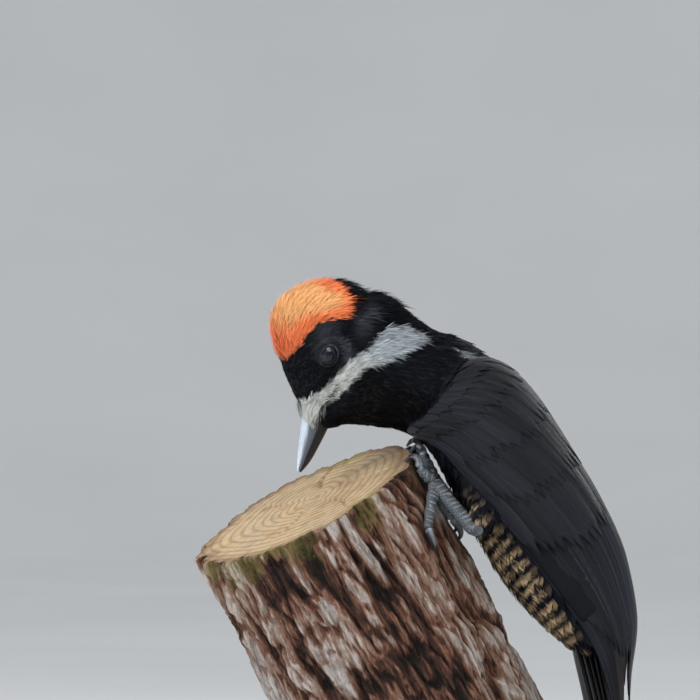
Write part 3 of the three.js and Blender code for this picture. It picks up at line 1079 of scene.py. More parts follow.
@dataclass
class Skin:
    """One skin for the bird's flesh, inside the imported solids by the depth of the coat."""

    flesh: tuple[str, ...] = ("head", "neck", "trunk", "thigh_left", "thigh_right", "wing_left", "wing_right")
    under_lids: tuple[str, ...] = ("eye_left", "eye_right")
    voxel: float = 1.2
    wing_cut: float = 0.64  # the share of the body where the wings turn to feathers alone
    mantle: tuple[float, float] = (0.10, 0.62)  # shares of the body where it fills the room between the wings
    mantle_rise: float = 5.5
    mantle_spread: float = math.radians(42)
    mantle_net_size: tuple[int, int] = (40, 48)
    head_depth: float = 1.5
    face_depth: float = 1.0
    body_depth: float = 3.2
    wing_depth: float = 1.7
    leg_depth: float = 1.0
    smoothing: int = 10
    # painted shade: the skin is painted this much darker than the feathers over it, as they shade it
    shade: float = 0.6  # how dark it is beside the feathers over it
    points: Array = field(init=False)
    quads: Array = field(init=False)
    normals: Array = field(init=False)
    tree: BVHTree = field(init=False)

    def __post_init__(self) -> None:
        """Works out the skin's shape."""
        self.points, self.quads = self.joined_flesh()
        sides = np.concatenate([self.quads[:, [k, (k + 1) % 4]] for k in range(4)])
        edges = np.unique(np.sort(sides, 1), axis=0)
        self.smooth(edges, self.smoothing)
        for _ in range(3):
            self.points = self.points - self.point_normals() * self.depth()[:, None] / 3
            self.smooth(edges, 2)
        self.normals = self.point_normals()
        self.tree = BVHTree.FromPolygons(self.points.tolist(), self.quads.tolist())

    def joined_flesh(self) -> tuple[Array, Array]:
        """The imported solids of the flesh, joined to one even net.

        Returns:
            Its points and its quads.
        """
        cut = BODY.point(self.wing_cut, 0) * 0.5 + BODY.point(self.wing_cut, math.pi) * 0.5
        ahead = np.cross(back_way(BODY.stations, np.array(self.wing_cut)), NEAR)
        ahead *= np.sign(ahead[2]) * -1
        solids = bmesh.new()
        solids.from_mesh(self.mantle_net().mesh("mantle"))
        for name in (*self.flesh, *self.under_lids):
            part = bmesh.new()
            part.from_mesh(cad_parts[name].data)
            bmesh.ops.remove_doubles(part, verts=part.verts, dist=1e-6)
            if name.startswith("wing"):
                whole = [*part.verts, *part.edges, *part.faces]
                bmesh.ops.bisect_plane(part, geom=whole, plane_co=cut * MM, plane_no=ahead, clear_outer=True)
                bmesh.ops.holes_fill(part, edges=[edge for edge in part.edges if edge.is_boundary])
            mesh = bpy.data.meshes.new(name + "_flesh")
            part.to_mesh(mesh)
            part.free()
            solids.from_mesh(mesh)
            bpy.data.meshes.remove(mesh)
        mesh = bpy.data.meshes.new("flesh")
        solids.to_mesh(mesh)
        solids.free()
        holder = placed("flesh", mesh)
        remesh = holder.modifiers.new("even", "REMESH")
        remesh.mode = "VOXEL"
        remesh.voxel_size = self.voxel * MM
        bpy.context.view_layer.update()
        even = bpy.data.meshes.new_from_object(holder.evaluated_get(bpy.context.evaluated_depsgraph_get()))
        points = np.zeros(len(even.vertices) * 3)
        even.vertices.foreach_get("co", points)
        quads = np.zeros(len(even.loops), np.int32)
        even.loops.foreach_get("vertex_index", quads)
        bpy.data.objects.remove(holder)
        bpy.data.meshes.remove(mesh)
        bpy.data.meshes.remove(even)
        return self.largest_part(points.reshape(-1, 3) / MM, quads.reshape(-1, 4))

    def mantle_net(self) -> Net:
        """A rounded back that fills the room between the folded wings.

        Returns:
            The closed net.
        """
        rows, columns = self.mantle_net_size
        share = np.linspace(0.001, 0.999, rows)[:, None]
        angle = turns(columns)[None]
        turned = np.minimum(angle, math.tau - angle)
        run = self.mantle[0] + (self.mantle[1] - self.mantle[0]) * share
        lift = self.mantle_rise * hill(turned, 0, self.mantle_spread) - 2
        surface = BODY.point(run, angle, lift)
        middle = surface.mean(1, keepdims=True)
        return Net.capped(middle + (surface - middle) * round_ends(share, 0.25, 0.35)[..., None])

    @staticmethod
    def largest_part(points: Array, quads: Array) -> tuple[Array, Array]:
        """The largest connected part of a net, without loose slivers.

        Args:
            points: The net's points.
            quads: Its quads.

        Returns:
            The points and quads of that part.
        """
        label = np.arange(len(points))
        while True:
            lowest = label[quads].min(1)
            new = label.copy()
            for k in range(4):
                np.minimum.at(new, quads[:, k], lowest)
            new = new[new]
            if np.array_equal(new, label):
                break
            label = new
        kept = label == np.bincount(label).argmax()
        number = np.cumsum(kept) - 1
        return points[kept], number[quads[kept[quads[:, 0]]]]

    def smooth(self, edges: Array, times: int) -> None:
        """Moves each point towards the middle of its neighbours.

        Args:
            edges: Pairs of neighbours.
            times: How often they are moved.
        """
        count = np.bincount(edges.ravel(), minlength=len(self.points))[:, None]
        for _ in range(times):
            total = np.stack([
                np.bincount(edges[:, 0], self.points[edges[:, 1], k], len(self.points))
                + np.bincount(edges[:, 1], self.points[edges[:, 0], k], len(self.points))
                for k in range(3)
            ], -1)
            self.points = 0.5 * self.points + 0.5 * total / count

    def point_normals(self) -> Array:
        """Unit normals at the points, facing out.

        Returns:
            One for each point.
        """
        a, b, c, d = (self.points[self.quads[:, k]] for k in range(4))
        faces = np.cross(c - a, d - b)
        count = len(self.points)
        return unit(np.stack([
            sum(np.bincount(self.quads[:, k], faces[:, axis], count) for k in range(4)) for axis in range(3)
        ], -1))

    def depth(self) -> Array:
        """How deep the coat is at each point.

        Returns:
            Depths in millimetres.
        """
        level = HEAD.level(self.points)
        head = self.face_depth + (self.head_depth - self.face_depth) * ease(10, 40, level[:, 0])
        depth = head + (self.body_depth - head) * ease(-22, -60, level[:, 1])
        depth = depth + (self.wing_depth - depth) * ease(-1, 2, WING.depth(self.points))
        return depth + (self.leg_depth - depth) * ease(-5, 0, ZONES.leg(self.points))

    def nearest(self, points: Array) -> tuple[Array, Array]:
        """The nearest points on the skin, and smooth normals there.

        Args:
            points: Places near the skin.

        Returns:
            A point and a normal for each.
        """
        found = [self.tree.find_nearest(point) for point in points.tolist()]
        places = np.array([hit[0] for hit in found])
        faces = self.quads[[hit[2] for hit in found]]
        gaps = np.linalg.norm(self.points[faces] - places[:, None], axis=-1)
        weight = (1 / (gaps + 0.05))[..., None]
        return places, unit((self.normals[faces] * weight).sum(1))

    def scatter(self, region: Measure, spacing: float, random: Random) -> Array:
        """Even random points on the part of the skin where region is above 0.

        Args:
            region: Depth inside the part.
            spacing: Distance between neighbours, in millimetres.
            random: The source of the draws.

        Returns:
            The points.
        """
        corners = self.points[self.quads]
        middles = corners.mean(1)
        faces = corners[region(middles) > -2 * self.voxel]
        area = np.linalg.norm(np.cross(faces[:, 2] - faces[:, 0], faces[:, 3] - faces[:, 1]), axis=-1) / 2
        count = int(area.sum() / spacing**2 * 5)
        chosen = faces[random.choice(len(faces), count, p=area / area.sum())]
        u, v = random.random((2, count, 1))
        near, far = ((1 - v) * chosen[:, a] + v * chosen[:, b] for a, b in ((0, 3), (1, 2)))
        points = (1 - u) * near + u * far
        points = points[region(points) > 0]
        return points[spread_out(points, spacing)]

    def build(self, finish: Finish) -> Piece:
        """Makes the skin and paints it.

        Args:
            finish: What it is painted with.

        Returns:
            The piece.
        """
        colours = MARKINGS.paint(self.points)
        # painted shade: the skin is darker than the coat over it
        colours[:, :3] *= self.shade
        net = Net(self.points, self.quads, paint={"tint": colours}, bake=UNWRAP.place(self.points))
        piece = net.piece("skin", "plumage", [finish])
        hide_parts(*self.flesh)
        return piece


def spread_out(points: Array, spacing: float) -> list[int]:
    """Numbers of points picked in order, none closer to another than the spacing.

    Args:
        points: The points, in order.
        spacing: The least distance between two.

    Returns:
        The numbers of those picked.
    """
    around = list(np.ndindex(3, 3, 3))
    taken: dict[tuple[int, int, int], list[list[float]]] = {}
    kept = []
    cells = np.floor(points / spacing).astype(int).tolist()
    limit = spacing**2
    for number, ((i, j, k), (x, y, z)) in enumerate(zip(cells, points.tolist())):
        near = (taken.get((i + a - 1, j + b - 1, k + c - 1), ()) for a, b, c in around)
        if all((x - p) ** 2 + (y - q) ** 2 + (z - r) ** 2 >= limit for cell in near for p, q, r in cell):
            taken.setdefault((i, j, k), []).append([x, y, z])
            kept.append(number)
    return kept


# ---- The wings' places ----


@dataclass(frozen=True)
class WingPlan:
    """A folded wing, lying on the body between two edges, in degrees from the middle of the back.

    Each station is [share of the body, upper edge, lower edge, thickness].
    """

    stations: tuple = (
        (0.12, 58, 138, 5.5),
        (0.165, 36, 146, 7.5),
        (0.26, 17, 128, 6.5),
        (0.38, 6, 113, 5.2),
        (0.52, 2, 106, 4.6),
        (0.66, 1, 99, 4),
        (0.78, 2, 88, 3.2),
        (0.88, 8, 68, 2.2),
        (0.945, 24, 44, 1.3),
    )
    gap: float = 0.3

    def point(self, along: Array, across: Array, under: Array | float, side: int) -> Array:
        """Points on the folded wing.

        Args:
            along: From the shoulder at 0 to the tip at 1.
            across: From the upper edge at 0 to the lower edge at 1.
            under: How far below the outside of the coat, in millimetres.
            side: BIRD_LEFT or BIRD_RIGHT.

        Returns:
            The points.
        """
        share, upper, lower, thick = np.moveaxis(read_table(self.stations, along), -1, 0)
        width = round_ends(along, 0.1, 0.2)
        off = np.clip((2 * across - 1), -1, 1)
        angle = upper + (lower - upper) * (0.5 + 0.5 * width * off)
        lift = self.gap + thick * width * (1 + np.sqrt(np.maximum(1 - off**2, 0))) / 2
        point = BODY.point(share, np.radians(angle), lift - under)
        return point * np.array([1, side, 1])

    def depth(self, points: Array) -> Array:
        """How far inside the wing's edges some points of the body lie, in millimetres.

        Args:
            points: Places on the body.

        Returns:
            Depths, above 0 inside.
        """
        share, angle = BODY.locate(points)
        shares = np.array([station[0] for station in self.stations])
        along = np.interp(share, shares, np.linspace(0, 1, len(shares)))
        _, upper, lower, _ = np.moveaxis(read_table(self.stations, along), -1, 0)
        turn = np.degrees(np.abs(angle))
        inside = 0.5 * np.minimum(turn - upper, lower - turn)
        return np.minimum(inside, 150 * np.minimum(share - 0.115, 0.95 - share))


WING = WingPlan()


# ---- The coat ----


@dataclass(frozen=True)
class Zones:
    """Parts of the coat, each as a depth in millimetres that is above 0 inside."""

    nape: tuple[float, float] = (-20, 305)
    neck_way: tuple[float, float] = (0.95, -0.31)
    neck_length: float = 24
    eye: tuple[float, float] = (28.0, 2.4)  # [back, up]
    eye_room: tuple[float, float] = (4.7, 3.5)
    nasal_back: float = 8.5
    thigh: tuple = ((29.2, -17.9, 252.9), (19.4, -34.0, 225.5))  # hip and heel of the left leg
    thigh_room: tuple[float, float] = (14.0, 10.0)  # how far its feathers reach from its axis
    rump: float = 0.60
    shoulder_end: float = 0.27
    crest: tuple[float, float, float] = (-36, -1, 331)  # the middle of the nape's raised feathers
    crest_reach: float = 17

    def behind_head(self, points: Array) -> Array:
        """How far behind the head's end."""
        return (points[:, [0, 2]] - np.array(self.nape)) @ np.array(self.neck_way)

    def bare(self, level: Array) -> Array:
        """How far outside the eyes and the bill.

        Args:
            level: Places in the head's level axes.

        Returns:
            Distances in millimetres.
        """
        across = (level[:, :2] - np.array(self.eye)) / np.array(self.eye_room)
        eye = self.eye_room[1] * (np.hypot(*across.T) - 1)
        bill = 5 * (np.hypot(level[:, 2] / 6.0, (level[:, 1] + 7.3) / 7.2) - 1)
        return np.minimum(eye, np.maximum(bill, level[:, 0] - 6))

    def crown(self, points: Array) -> Array:
        """The coloured crown."""
        return MARKINGS.crown(HEAD.level(points))

    def nape_crest(self, points: Array) -> Array:
        """The raised feathers of the nape."""
        off = np.linalg.norm(points - np.array(self.crest), axis=1)
        return np.minimum(self.crest_reach - off, -self.crown(points))

    def nasal(self, points: Array) -> Array:
        """The bristles over the nostrils."""
        back, up, left = HEAD.level(points).T
        return least(
            self.nasal_back - back, up + 4.6, 3.6 - 0.4 * (back - 3) - up, np.abs(left) - 1.2, back + 4
        )

    def stripe(self, points: Array) -> Array:
        """The pale stripe behind the bristles."""
        level = HEAD.level(points)
        return least(
            MARKINGS.stripe_depth(level), -MARKINGS.gape_line(level), self.bare(level), level[:, 0] - 3
        )

    def face(self, points: Array) -> Array:
        """The dark feathers of the head."""
        bare = self.bare(HEAD.level(points))
        return least(-self.crown(points), -self.stripe(points), -self.behind_head(points), bare)

    def neck(self, points: Array) -> Array:
        """The neck."""
        behind = self.behind_head(points)
        return least(behind, self.neck_length - behind, -self.stripe(points))

    def leg(self, points: Array) -> Array:
        """The feathered thighs.

        Args:
            points: Places on the skin.

        Returns:
            Depths, above 0 on a thigh.
        """
        hip, heel = np.array(self.thigh)
        offset = points * np.array([1, 0, 1]) - np.abs(points) * np.array([0, 1, 0]) - hip
        share = np.clip(offset @ (heel - hip) / np.sum((heel - hip) ** 2), 0, 1)
        off = np.linalg.norm(offset - share[:, None] * (heel - hip), axis=1)
        wide, narrow = self.thigh_room
        return wide + (narrow - wide) * share - off

    def shoulder(self, points: Array) -> Array:
        """The front of the wings, under small coverts."""
        share, _ = BODY.locate(points)
        return least(WING.depth(points), -self.stripe(points), 200 * (self.shoulder_end - share))

    def body(self, points: Array) -> Array:
        """The mantle, breast, flanks and belly."""
        ahead = least(self.behind_head(points) - self.neck_length, 180 * (self.rump - BODY.locate(points)[0]))
        return least(ahead, -self.stripe(points), -WING.depth(points), -self.leg(points))

    def tail_coverts(self, points: Array) -> Array:
        """The end of the body round the root of the tail."""
        share, _ = BODY.locate(points)
        return np.minimum(180 * (share - self.rump), -WING.depth(points))


ZONES = Zones()


class Look(Enum):
    """How small feathers look: dark and unlike each other, flame coloured, or pale and streaked."""

    DARK = FeatherFinish("dark_feathers", 0.6, 0.0, 0.03)
    FLAME = FeatherFinish("flame_feathers", 0.7, 0.08, 0.1, (0.84, 1.20), root_painted_shade=0.80)
    PALE = FeatherFinish("pale_feathers", 0.7, 0.06, 0.1, (0.28, 1.42), root_painted_shade=0.46)


@dataclass(frozen=True)
class CoatPatch:
    """Feathers of one kind over one part of the skin.

    With loose barbs, each tuft is a spray of thin barbs, as on the head. Without, each feather is a
    closed vane, laid like shingles.
    """

    name: str
    region: Measure
    spacing: float
    length: Measure
    width: float
    lift: float = 10  # degrees
    sunk: float = 0.3  # how far roots lie under the skin
    loose: int = 0  # barbs in each tuft
    splay: float = 0.22
    wander: float = 6  # degrees that feathers turn from the lie
    camber: float = 0.12
    rows: int = 4
    banded: bool = False  # painted along each feather instead of by its root
    forward: bool = False  # lies towards the tip of the bill
    unevenness: float = 0.14
    look: Look = Look.DARK

    def grow(self, skin: Skin, random: Random) -> Net:
        """Sets the feathers on the skin.

        Args:
            skin: What they grow on.
            random: Where chance comes from.

        Returns:
            The patch as one net.
        """
        roots = skin.scatter(self.region, self.spacing, random)
        lengths = self.length(roots) * random.normal(1, self.unevenness, len(roots)).clip(0.6, 1.4)
        lines, normals = self.follow(skin, roots, lengths, random)
        if self.loose:
            return self.loose_barbs(lines, normals, lengths, random)
        return self.closed_vanes(lines, normals, lengths, random)

    def follow(self, skin: Skin, roots: Array, lengths: Array, random: Random) -> tuple[Array, Array]:
        """Lines over the skin from each root along the lie, and the normals along them.

        Args:
            skin: What they run over.
            roots: Where they start.
            lengths: How long each is.
            random: The source of the draws.

        Returns:
            The lines and the normals, each [feathers, rows, 3].
        """
        turn = np.radians(random.normal(0, self.wander, len(roots)))[:, None]
        place, normal = skin.nearest(roots)
        places, normals = [place], [normal]
        ahead = -HEAD.back
        for _ in range(self.rows - 1):
            if self.forward:
                way = unit(ahead - np.sum(ahead * normal, -1, keepdims=True) * normal * 0.9)
            else:
                way = LIE.way(place, normal)
            way = way * np.cos(turn) + np.cross(normal, way) * np.sin(turn)
            place = place + way * (lengths / (self.rows - 1))[:, None]
            if not self.forward:
                place, normal = skin.nearest(place)
            places.append(place)
            normals.append(normal)
        return np.stack(places, 1), np.stack(normals, 1)

    def tints(self, lines: Array) -> Array:
        """Colours along each feather, [feathers, rows, 4]."""
        painted = lines if self.banded else lines[:, :1].repeat(self.rows, 1)
        return MARKINGS.paint(painted.reshape(-1, 3)).reshape(len(lines), self.rows, 4)

    def loose_barbs(self, lines: Array, normals: Array, lengths: Array, random: Random) -> Net:
        """Sprays of thin barbs.

        Args:
            lines: The shafts.
            normals: The skin's normals along them.
            lengths: How long each is.
            random: The source of the draws.

        Returns:
            The barbs of all of them.
        """
        count, rows, barbs = len(lines), self.rows, self.loose
        shape = (count, barbs, 1, 1)
        ahead = unit(lines[:, -1:] - lines[:, :1])[:, None]
        side = np.cross(normals, unit(np.gradient(lines, axis=1)))[:, None]
        normal = normals[:, None]
        t = np.linspace(0, 1, rows)[None, None, :, None]
        reach = lengths[:, None, None, None]
        size = random.uniform(0.7, 1.12, shape)
        rise = np.radians(self.lift * random.uniform(0.5, 1.4, shape))
        height = reach * size * np.sin(rise) * t**0.9 - self.sunk
        middle = lines[:, None, :1] + (lines - lines[:, :1])[:, None] * size
        middle = middle + side * (random.uniform(-0.55, 0.55, shape) * self.spacing)
        middle = middle + ahead * (random.uniform(-0.5, 0.5, shape) * self.spacing)
        middle = middle + side * reach * (random.normal(0, self.splay, shape) * t * (0.6 + 0.4 * t))
        middle = middle + normal * height
        roll = random.normal(0, 0.35, shape)
        wide = side * np.cos(roll) + normal * np.sin(roll)
        taper = np.interp(t, [0, 0.3, 0.75, 1], [0.6, 1, 0.7, 0.08]) * self.width / 2
        across = np.array([-1.0, 1.0])
        points = middle[:, :, :, None] + wide[:, :, :, None] * taper[:, :, :, None] * across[:, None]
        along = np.broadcast_to(t[..., None], points.shape[:-1] + (1,))
        edge = np.broadcast_to(across[:, None], along.shape)
        lock = random.random((count, 1, 1, 1))
        chance = np.broadcast_to((0.6 * lock + 0.4 * random.random(shape))[..., None], along.shape)
        tint = np.broadcast_to(self.tints(lines)[:, None, :, None], points.shape[:-1] + (4,))
        offset = (np.arange(barbs) + 0.5)[None, :, None, None] / barbs * 2 - 1
        within = np.broadcast_to(offset, along.shape[:-1]) + edge[..., 0] / barbs * 0.5
        bake = UNWRAP.tufts(lines[:, 0], within.reshape(count, -1) * 0.9, along.reshape(count, -1))
        vane = np.concatenate([edge * 0.2, along, chance], -1).reshape(-1, 3)
        paint = {"tint": tint.reshape(-1, 4), "vane": vane}
        quads = many_grids(count * barbs, rows, 2)
        return Net(points.reshape(-1, 3), quads, paint=paint, bake=bake.reshape(-1, 2))

    def closed_vanes(self, lines: Array, normals: Array, lengths: Array, random: Random) -> Net:
        """Feathers with closed vanes and a ragged end.

        Args:
            lines: The shafts.
            normals: The skin's normals along them.
            lengths: How long each is.
            random: The source of the draws.

        Returns:
            The vanes of all of them.
        """
        count, rows = len(lines), self.rows
        across = np.array([-1, -0.55, 0, 0.55, 1.0])
        shape = (count, rows, len(across))
        t = np.linspace(0, 1, rows) ** 0.85
        outline = np.where(t < 0.6, 0.5 + 0.5 * np.sin(np.minimum(t / 0.6, 1) * math.pi / 2), 1)
        outline = outline * np.sqrt(1 - 0.86 * np.clip((t - 0.6) / 0.4, 0, 1) ** 2)
        ahead = unit(np.gradient(lines, axis=1))
        side = np.cross(normals, ahead)
        width = self.width * random.normal(1, 0.1, (count, 1, 1)).clip(0.7, 1.3) / 2
        fray = 1 + random.normal(0, 0.10, shape) * (np.abs(across) > 0.5)
        out = across * outline[:, None] * width * fray
        slope = np.sin(np.radians(self.lift)) * lengths[:, None]
        ridge = slope * t + random.normal(0, 0.06, (count, 1)) - self.sunk
        height = ridge[..., None] - self.camber * width * 2 * (across * outline[:, None]) ** 2
        tip = (random.normal(0, 0.03, shape) - 0.13 * across**2) * t[:, None] ** 2 * lengths[:, None, None]
        points = lines[:, :, None] + side[:, :, None] * out[..., None]
        points = points + normals[:, :, None] * height[..., None] + ahead[:, :, None] * tip[..., None]
        vane = np.stack([
            np.broadcast_to(across, shape),
            np.broadcast_to(t[:, None], shape),
            np.broadcast_to(random.random((count, 1, 1)), shape),
        ], -1)
        tint = np.broadcast_to(self.tints(lines)[:, :, None], shape + (4,))
        paint = {"tint": tint.reshape(-1, 4), "vane": vane.reshape(-1, 3)}
        flat = vane.reshape(count, -1, 3)
        bake = UNWRAP.tufts(lines[:, 0], flat[..., 0], flat[..., 1]).reshape(-1, 2)
        return Net(points.reshape(-1, 3), many_grids(*shape), paint=paint, bake=bake)


def head_length(start: float, end: float) -> Measure:
    """Feather lengths that grow from the bill and the eye towards the nape."""

    def length(points: Array) -> Array:
        """Lengths at some points.

        Args:
            points: Roots of feathers.

        Returns:
            A length for each.
        """
        level = HEAD.level(points)
        eye = np.hypot(level[:, 0] - ZONES.eye[0], level[:, 1] - ZONES.eye[1])
        grown = start + (end - start) * ease(2, 58, level[:, 0])
        return grown * (0.62 + 0.38 * ease(4, 11, eye))

    return length


def steady(length: float) -> Measure:
    """The same feather length everywhere."""
    return lambda points: np.full(len(points), length)


def body_length(start: float, end: float, first: float, last: float) -> Measure:
    """Feather lengths that grow between two shares of the body."""
    return lambda points: start + (end - start) * ease(first, last, BODY.locate(points)[0])


@dataclass
class Plumage:
    """The bird's small feathers."""

    seed: int = 11
    patches: tuple[CoatPatch, ...] = (
        CoatPatch(
            "coat_crown", ZONES.crown, 0.80, head_length(3.8, 4.8), 0.32, 30, 0.3, 7, 0.18, 6, look=Look.FLAME
        ),
        CoatPatch(
            "coat_stripe", ZONES.stripe, 0.82, head_length(3.8, 6.5), 0.22, 15, 0.3, 7, 0.18, 9, rows=5,
            look=Look.PALE,
        ),
        CoatPatch(
            "coat_nasal_bristles", ZONES.nasal, 0.62, steady(7.6), 0.22, 9, 0.2, 5, 0.10, 7, forward=True,
            look=Look.PALE,
        ),
        CoatPatch("coat_face", ZONES.face, 0.95, head_length(2.3, 5.0), 0.36, 13, 0.25, 6, 0.18, 7),
        CoatPatch("coat_neck", ZONES.neck, 1.35, steady(6.0), 0.55, 9, 0.4, 5, 0.15, 7, rows=5),
        CoatPatch("coat_nape", ZONES.nape_crest, 1.15, steady(8.5), 0.46, 18, 0.4, 5, 0.16, 7, rows=5),
        CoatPatch(
            "coat_body", ZONES.body, 2.3, body_length(8, 11.5, 0.1, 0.5), 5.2, 9, 0.4, rows=7, banded=True
        ),
        CoatPatch("coat_legs", ZONES.leg, 1.9, steady(8.5), 3.4, 14, 0.4, rows=6, banded=True),
        CoatPatch("coat_shoulders", ZONES.shoulder, 1.9, steady(6), 3.6, 8, 0.3, rows=6),
        CoatPatch("coat_tail_coverts", ZONES.tail_coverts, 2.6, steady(17), 7.0, 7, 0.3, rows=8, banded=True),
    )

    def build(self, skin: Skin) -> list[Piece]:
        """Grows every patch.

        Args:
            skin: What they grow on.

        Returns:
            A piece for each patch.
        """
        finishes = {look: look.value.make() for look in Look}
        pieces = []
        for number, patch in enumerate(self.patches):
            net = patch.grow(skin, np.random.default_rng(self.seed + number))
            pieces.append(net.piece(patch.name, "plumage", [finishes[patch.look]]))
        return pieces


# ---- Wing and tail feathers ----


@dataclass(frozen=True)
class Quill:
    """One large feather: its shape across a net of points, with a raised shaft."""

    thickness: float = 0.3
    shaft: float = 0.5
    across: tuple[float, ...] = (-1, -0.7, -0.35, -0.07, 0, 0.07, 0.35, 0.7, 1)
    rows: int = 28

    def net(self, place: Surface, out: Surface, tint: Array, chance: float) -> Net:
        """Builds the feather.

        Args:
            place: Gives points from shares along and across (-1 to 1).
            out: Gives the way off the body at the same places.
            tint: The colour of each row, [rows, 4].
            chance: A random number for this feather's shade.

        Returns:
            A closed thin net.
        """
        across = np.array(self.across)[None]
        along = np.linspace(0, 1, self.rows)[:, None]
        shape = (self.rows, len(self.across))
        along, across = np.broadcast_to(along, shape), np.broadcast_to(across, shape)
        points, way = place(along, across), out(along, across)
        ridge = self.shaft * (1 - 0.85 * along) * np.clip(1 - np.abs(across) / 0.08, 0, 1)
        top = points + way * ridge[..., None]
        under = (points - way * self.thickness)[:, ::-1]
        ring = np.concatenate([top, under], 1)
        columns = ring.shape[1]
        half = columns // 2
        k = np.arange(half - 1)
        last = (self.rows - 1) * columns
        start_cap = np.stack([k, columns - 1 - k, columns - 2 - k, k + 1], -1)
        end_cap = last + np.stack([k, k + 1, columns - 2 - k, columns - 1 - k], -1)
        quads = np.concatenate([grid_quads(self.rows, columns, closed=True), start_cap, end_cap])
        both = np.concatenate([across, across[:, ::-1]], 1)
        length = np.concatenate([along, along], 1)
        net = Net(ring.reshape(-1, 3), quads)
        net.paint = {
            "tint": np.repeat(tint[:, None], columns, 1).reshape(-1, 4),
            "vane": np.stack([both, length, np.full_like(both, chance)], -1).reshape(-1, 3),
            "face": np.tile(np.repeat([0.0, 1.0], half)[None, :, None], (self.rows, 1, 3)).reshape(-1, 3),
        }
        return net.turned_out()


@dataclass(frozen=True)
class Lane:
    """Where one feather lies on a folded wing, as shares of its length and width."""

    start: float
    stop: float
    from_across: float
    to_across: float
    half: float
    under: float  # how deep it lies
    sunk: float  # how much deeper its base is
    tip: float = 0.3  # how far its end is rounded
    primary: bool = False


@dataclass
class WingFeathers:
    """The coverts, tertials, secondaries and primaries of one folded wing."""

    side: int
    secondaries: int = 11
    primaries: int = 9
    covert_rows: tuple = (
        (0.30, 0.47, 15, 0.068, 0.0), (0.23, 0.375, 17, 0.056, 0.25), (0.165, 0.29, 19, 0.050, 0.4),
        (0.105, 0.215, 20, 0.046, 0.5), (0.05, 0.145, 17, 0.046, 0.6),
    )  # [start, stop, feathers, half width, how far above the quills]
    layer: float = 0.18  # each feather lies this far under the one before
    front_sunk: float = 3.4  # how much deeper the coverts lie at the front, under the shoulder's feathers
    seed: int = 40
    quill: Quill = Quill()
    covert: Quill = Quill(thickness=0.25, shaft=0.25, across=(-1, -0.5, -0.1, 0.1, 0.5, 1), rows=12)

    def lanes(self) -> list[Lane]:
        """Where the long feathers lie, the uppermost first.

        Returns:
            A lane for each feather.
        """
        lanes = []
        for i in range(self.secondaries):
            s = i / (self.secondaries - 1)
            stop = 0.80 - 0.16 * ease(0, 0.35, s) + 0.06 * math.sin(s * 3.0)
            half = 0.19 - 0.07 * float(ease(0, 0.4, s))
            start = 0.25 - 0.04 * s
            under = 0.5 + self.layer * i
            lanes.append(Lane(start, float(stop), 0.06 + 0.80 * s, 0.10 + 0.66 * s, half, under, 2.0))
        for i in range(self.primaries):
            s = i / (self.primaries - 1)
            stop, across = 0.76 + 0.225 * math.sin(s * 1.9), 0.34 + 0.50 * s
            under = 0.7 + self.layer * (self.secondaries + 0.8 * i)
            lanes.append(Lane(0.36, stop, 0.80 + 0.12 * s, across, 0.15 - 0.02 * s, under, 1.2, 0.2, True))
        return lanes

    def covert_lanes(self, random: Random) -> list[Lane]:
        """Where the coverts lie, in rows from the long feathers up to the shoulder.

        Args:
            random: The source of the draws.

        Returns:
            A lane for each feather.
        """
        lanes = []
        for start, stop, count, half, rise in self.covert_rows:
            for i in range(count):
                s = (i + 0.5 + random.normal(0, 0.08)) / count
                slip = random.normal(0, 0.006) + 0.02 * math.sin(s * math.pi)
                across = 0.03 + 0.94 * s
                under = 0.25 - rise + 0.25 * random.random() + 0.15 * (i % 2)
                sunk = 1.8 + 2.6 * float(ease(0.16, 0.05, start))
                lanes.append(Lane(start + slip, stop + slip, across, across - 0.05, half, under, sunk, 0.55))
        return lanes

    def build(self, name: str, finish: Finish) -> Piece:
        """Makes the feathers of this wing as one piece.

        Args:
            name: What the piece is called.
            finish: What they are made of.

        Returns:
            The piece.
        """
        random = np.random.default_rng(self.seed + self.side)
        nets = [self.feather(lane, self.quill, random) for lane in self.lanes()]
        nets += [self.feather(lane, self.covert, random) for lane in self.covert_lanes(random)]
        spread_strips(nets)
        return Net.joined(nets).piece(name, "plumage", [finish])

    def feather(self, lane: Lane, quill: Quill, random: Random) -> Net:
        """One feather along its lane.

        Args:
            lane: Where it lies.
            quill: Its shape.
            random: The source of the draws.

        Returns:
            Its net.
        """
        turn = random.normal(0, 0.006)

        def place(along: Array, across: Array, deeper: float = 0) -> Array:
            """Points of the vane.

            Args:
                along: Shares of its length.
                across: Shares of its half width.
                deeper: How far below its own layer.

            Returns:
                The points.
            """
            rounded = np.clip((along - 1 + lane.tip) / lane.tip, 0, 1)
            outline = (0.45 + 0.55 * ease(0, 0.3, along)) * np.sqrt(1 - 0.93 * rounded**2.4)
            run = lane.start + (lane.stop - lane.start) * along - 0.02 * across**2 * ease(0.8, 1, along)
            middle = lane.from_across + (lane.to_across - lane.from_across + turn) * along**1.2
            side = across * (0.75 if lane.primary else 1)
            under = lane.under + lane.sunk * ease(0.35, 0, along) + 0.25 * across**2
            under = under + self.front_sunk * ease(0.20, 0.04, run)
            side = np.clip(middle + lane.half * outline * side, 0.01, 0.99)
            return WING.point(run, side, under + deeper, self.side)

        def out(along: Array, across: Array) -> Array:
            """The way off the body."""
            return unit(place(along, across) - place(along, across, 6))

        rows = quill.rows
        share = np.linspace(0, 1, rows)
        tint = Tone.BACK_BLACK.rows(rows)
        tint = blend(tint, Tone.WORN_BROWN.rows(1), 0.3 * ease(0.5, 1, share) * lane.primary)
        tint = blend(tint, Tone.FEATHER_TIP.rows(1), 0.22 * ease(0.965, 0.995, share) * lane.primary)
        return quill.net(place, out, tint, random.random())


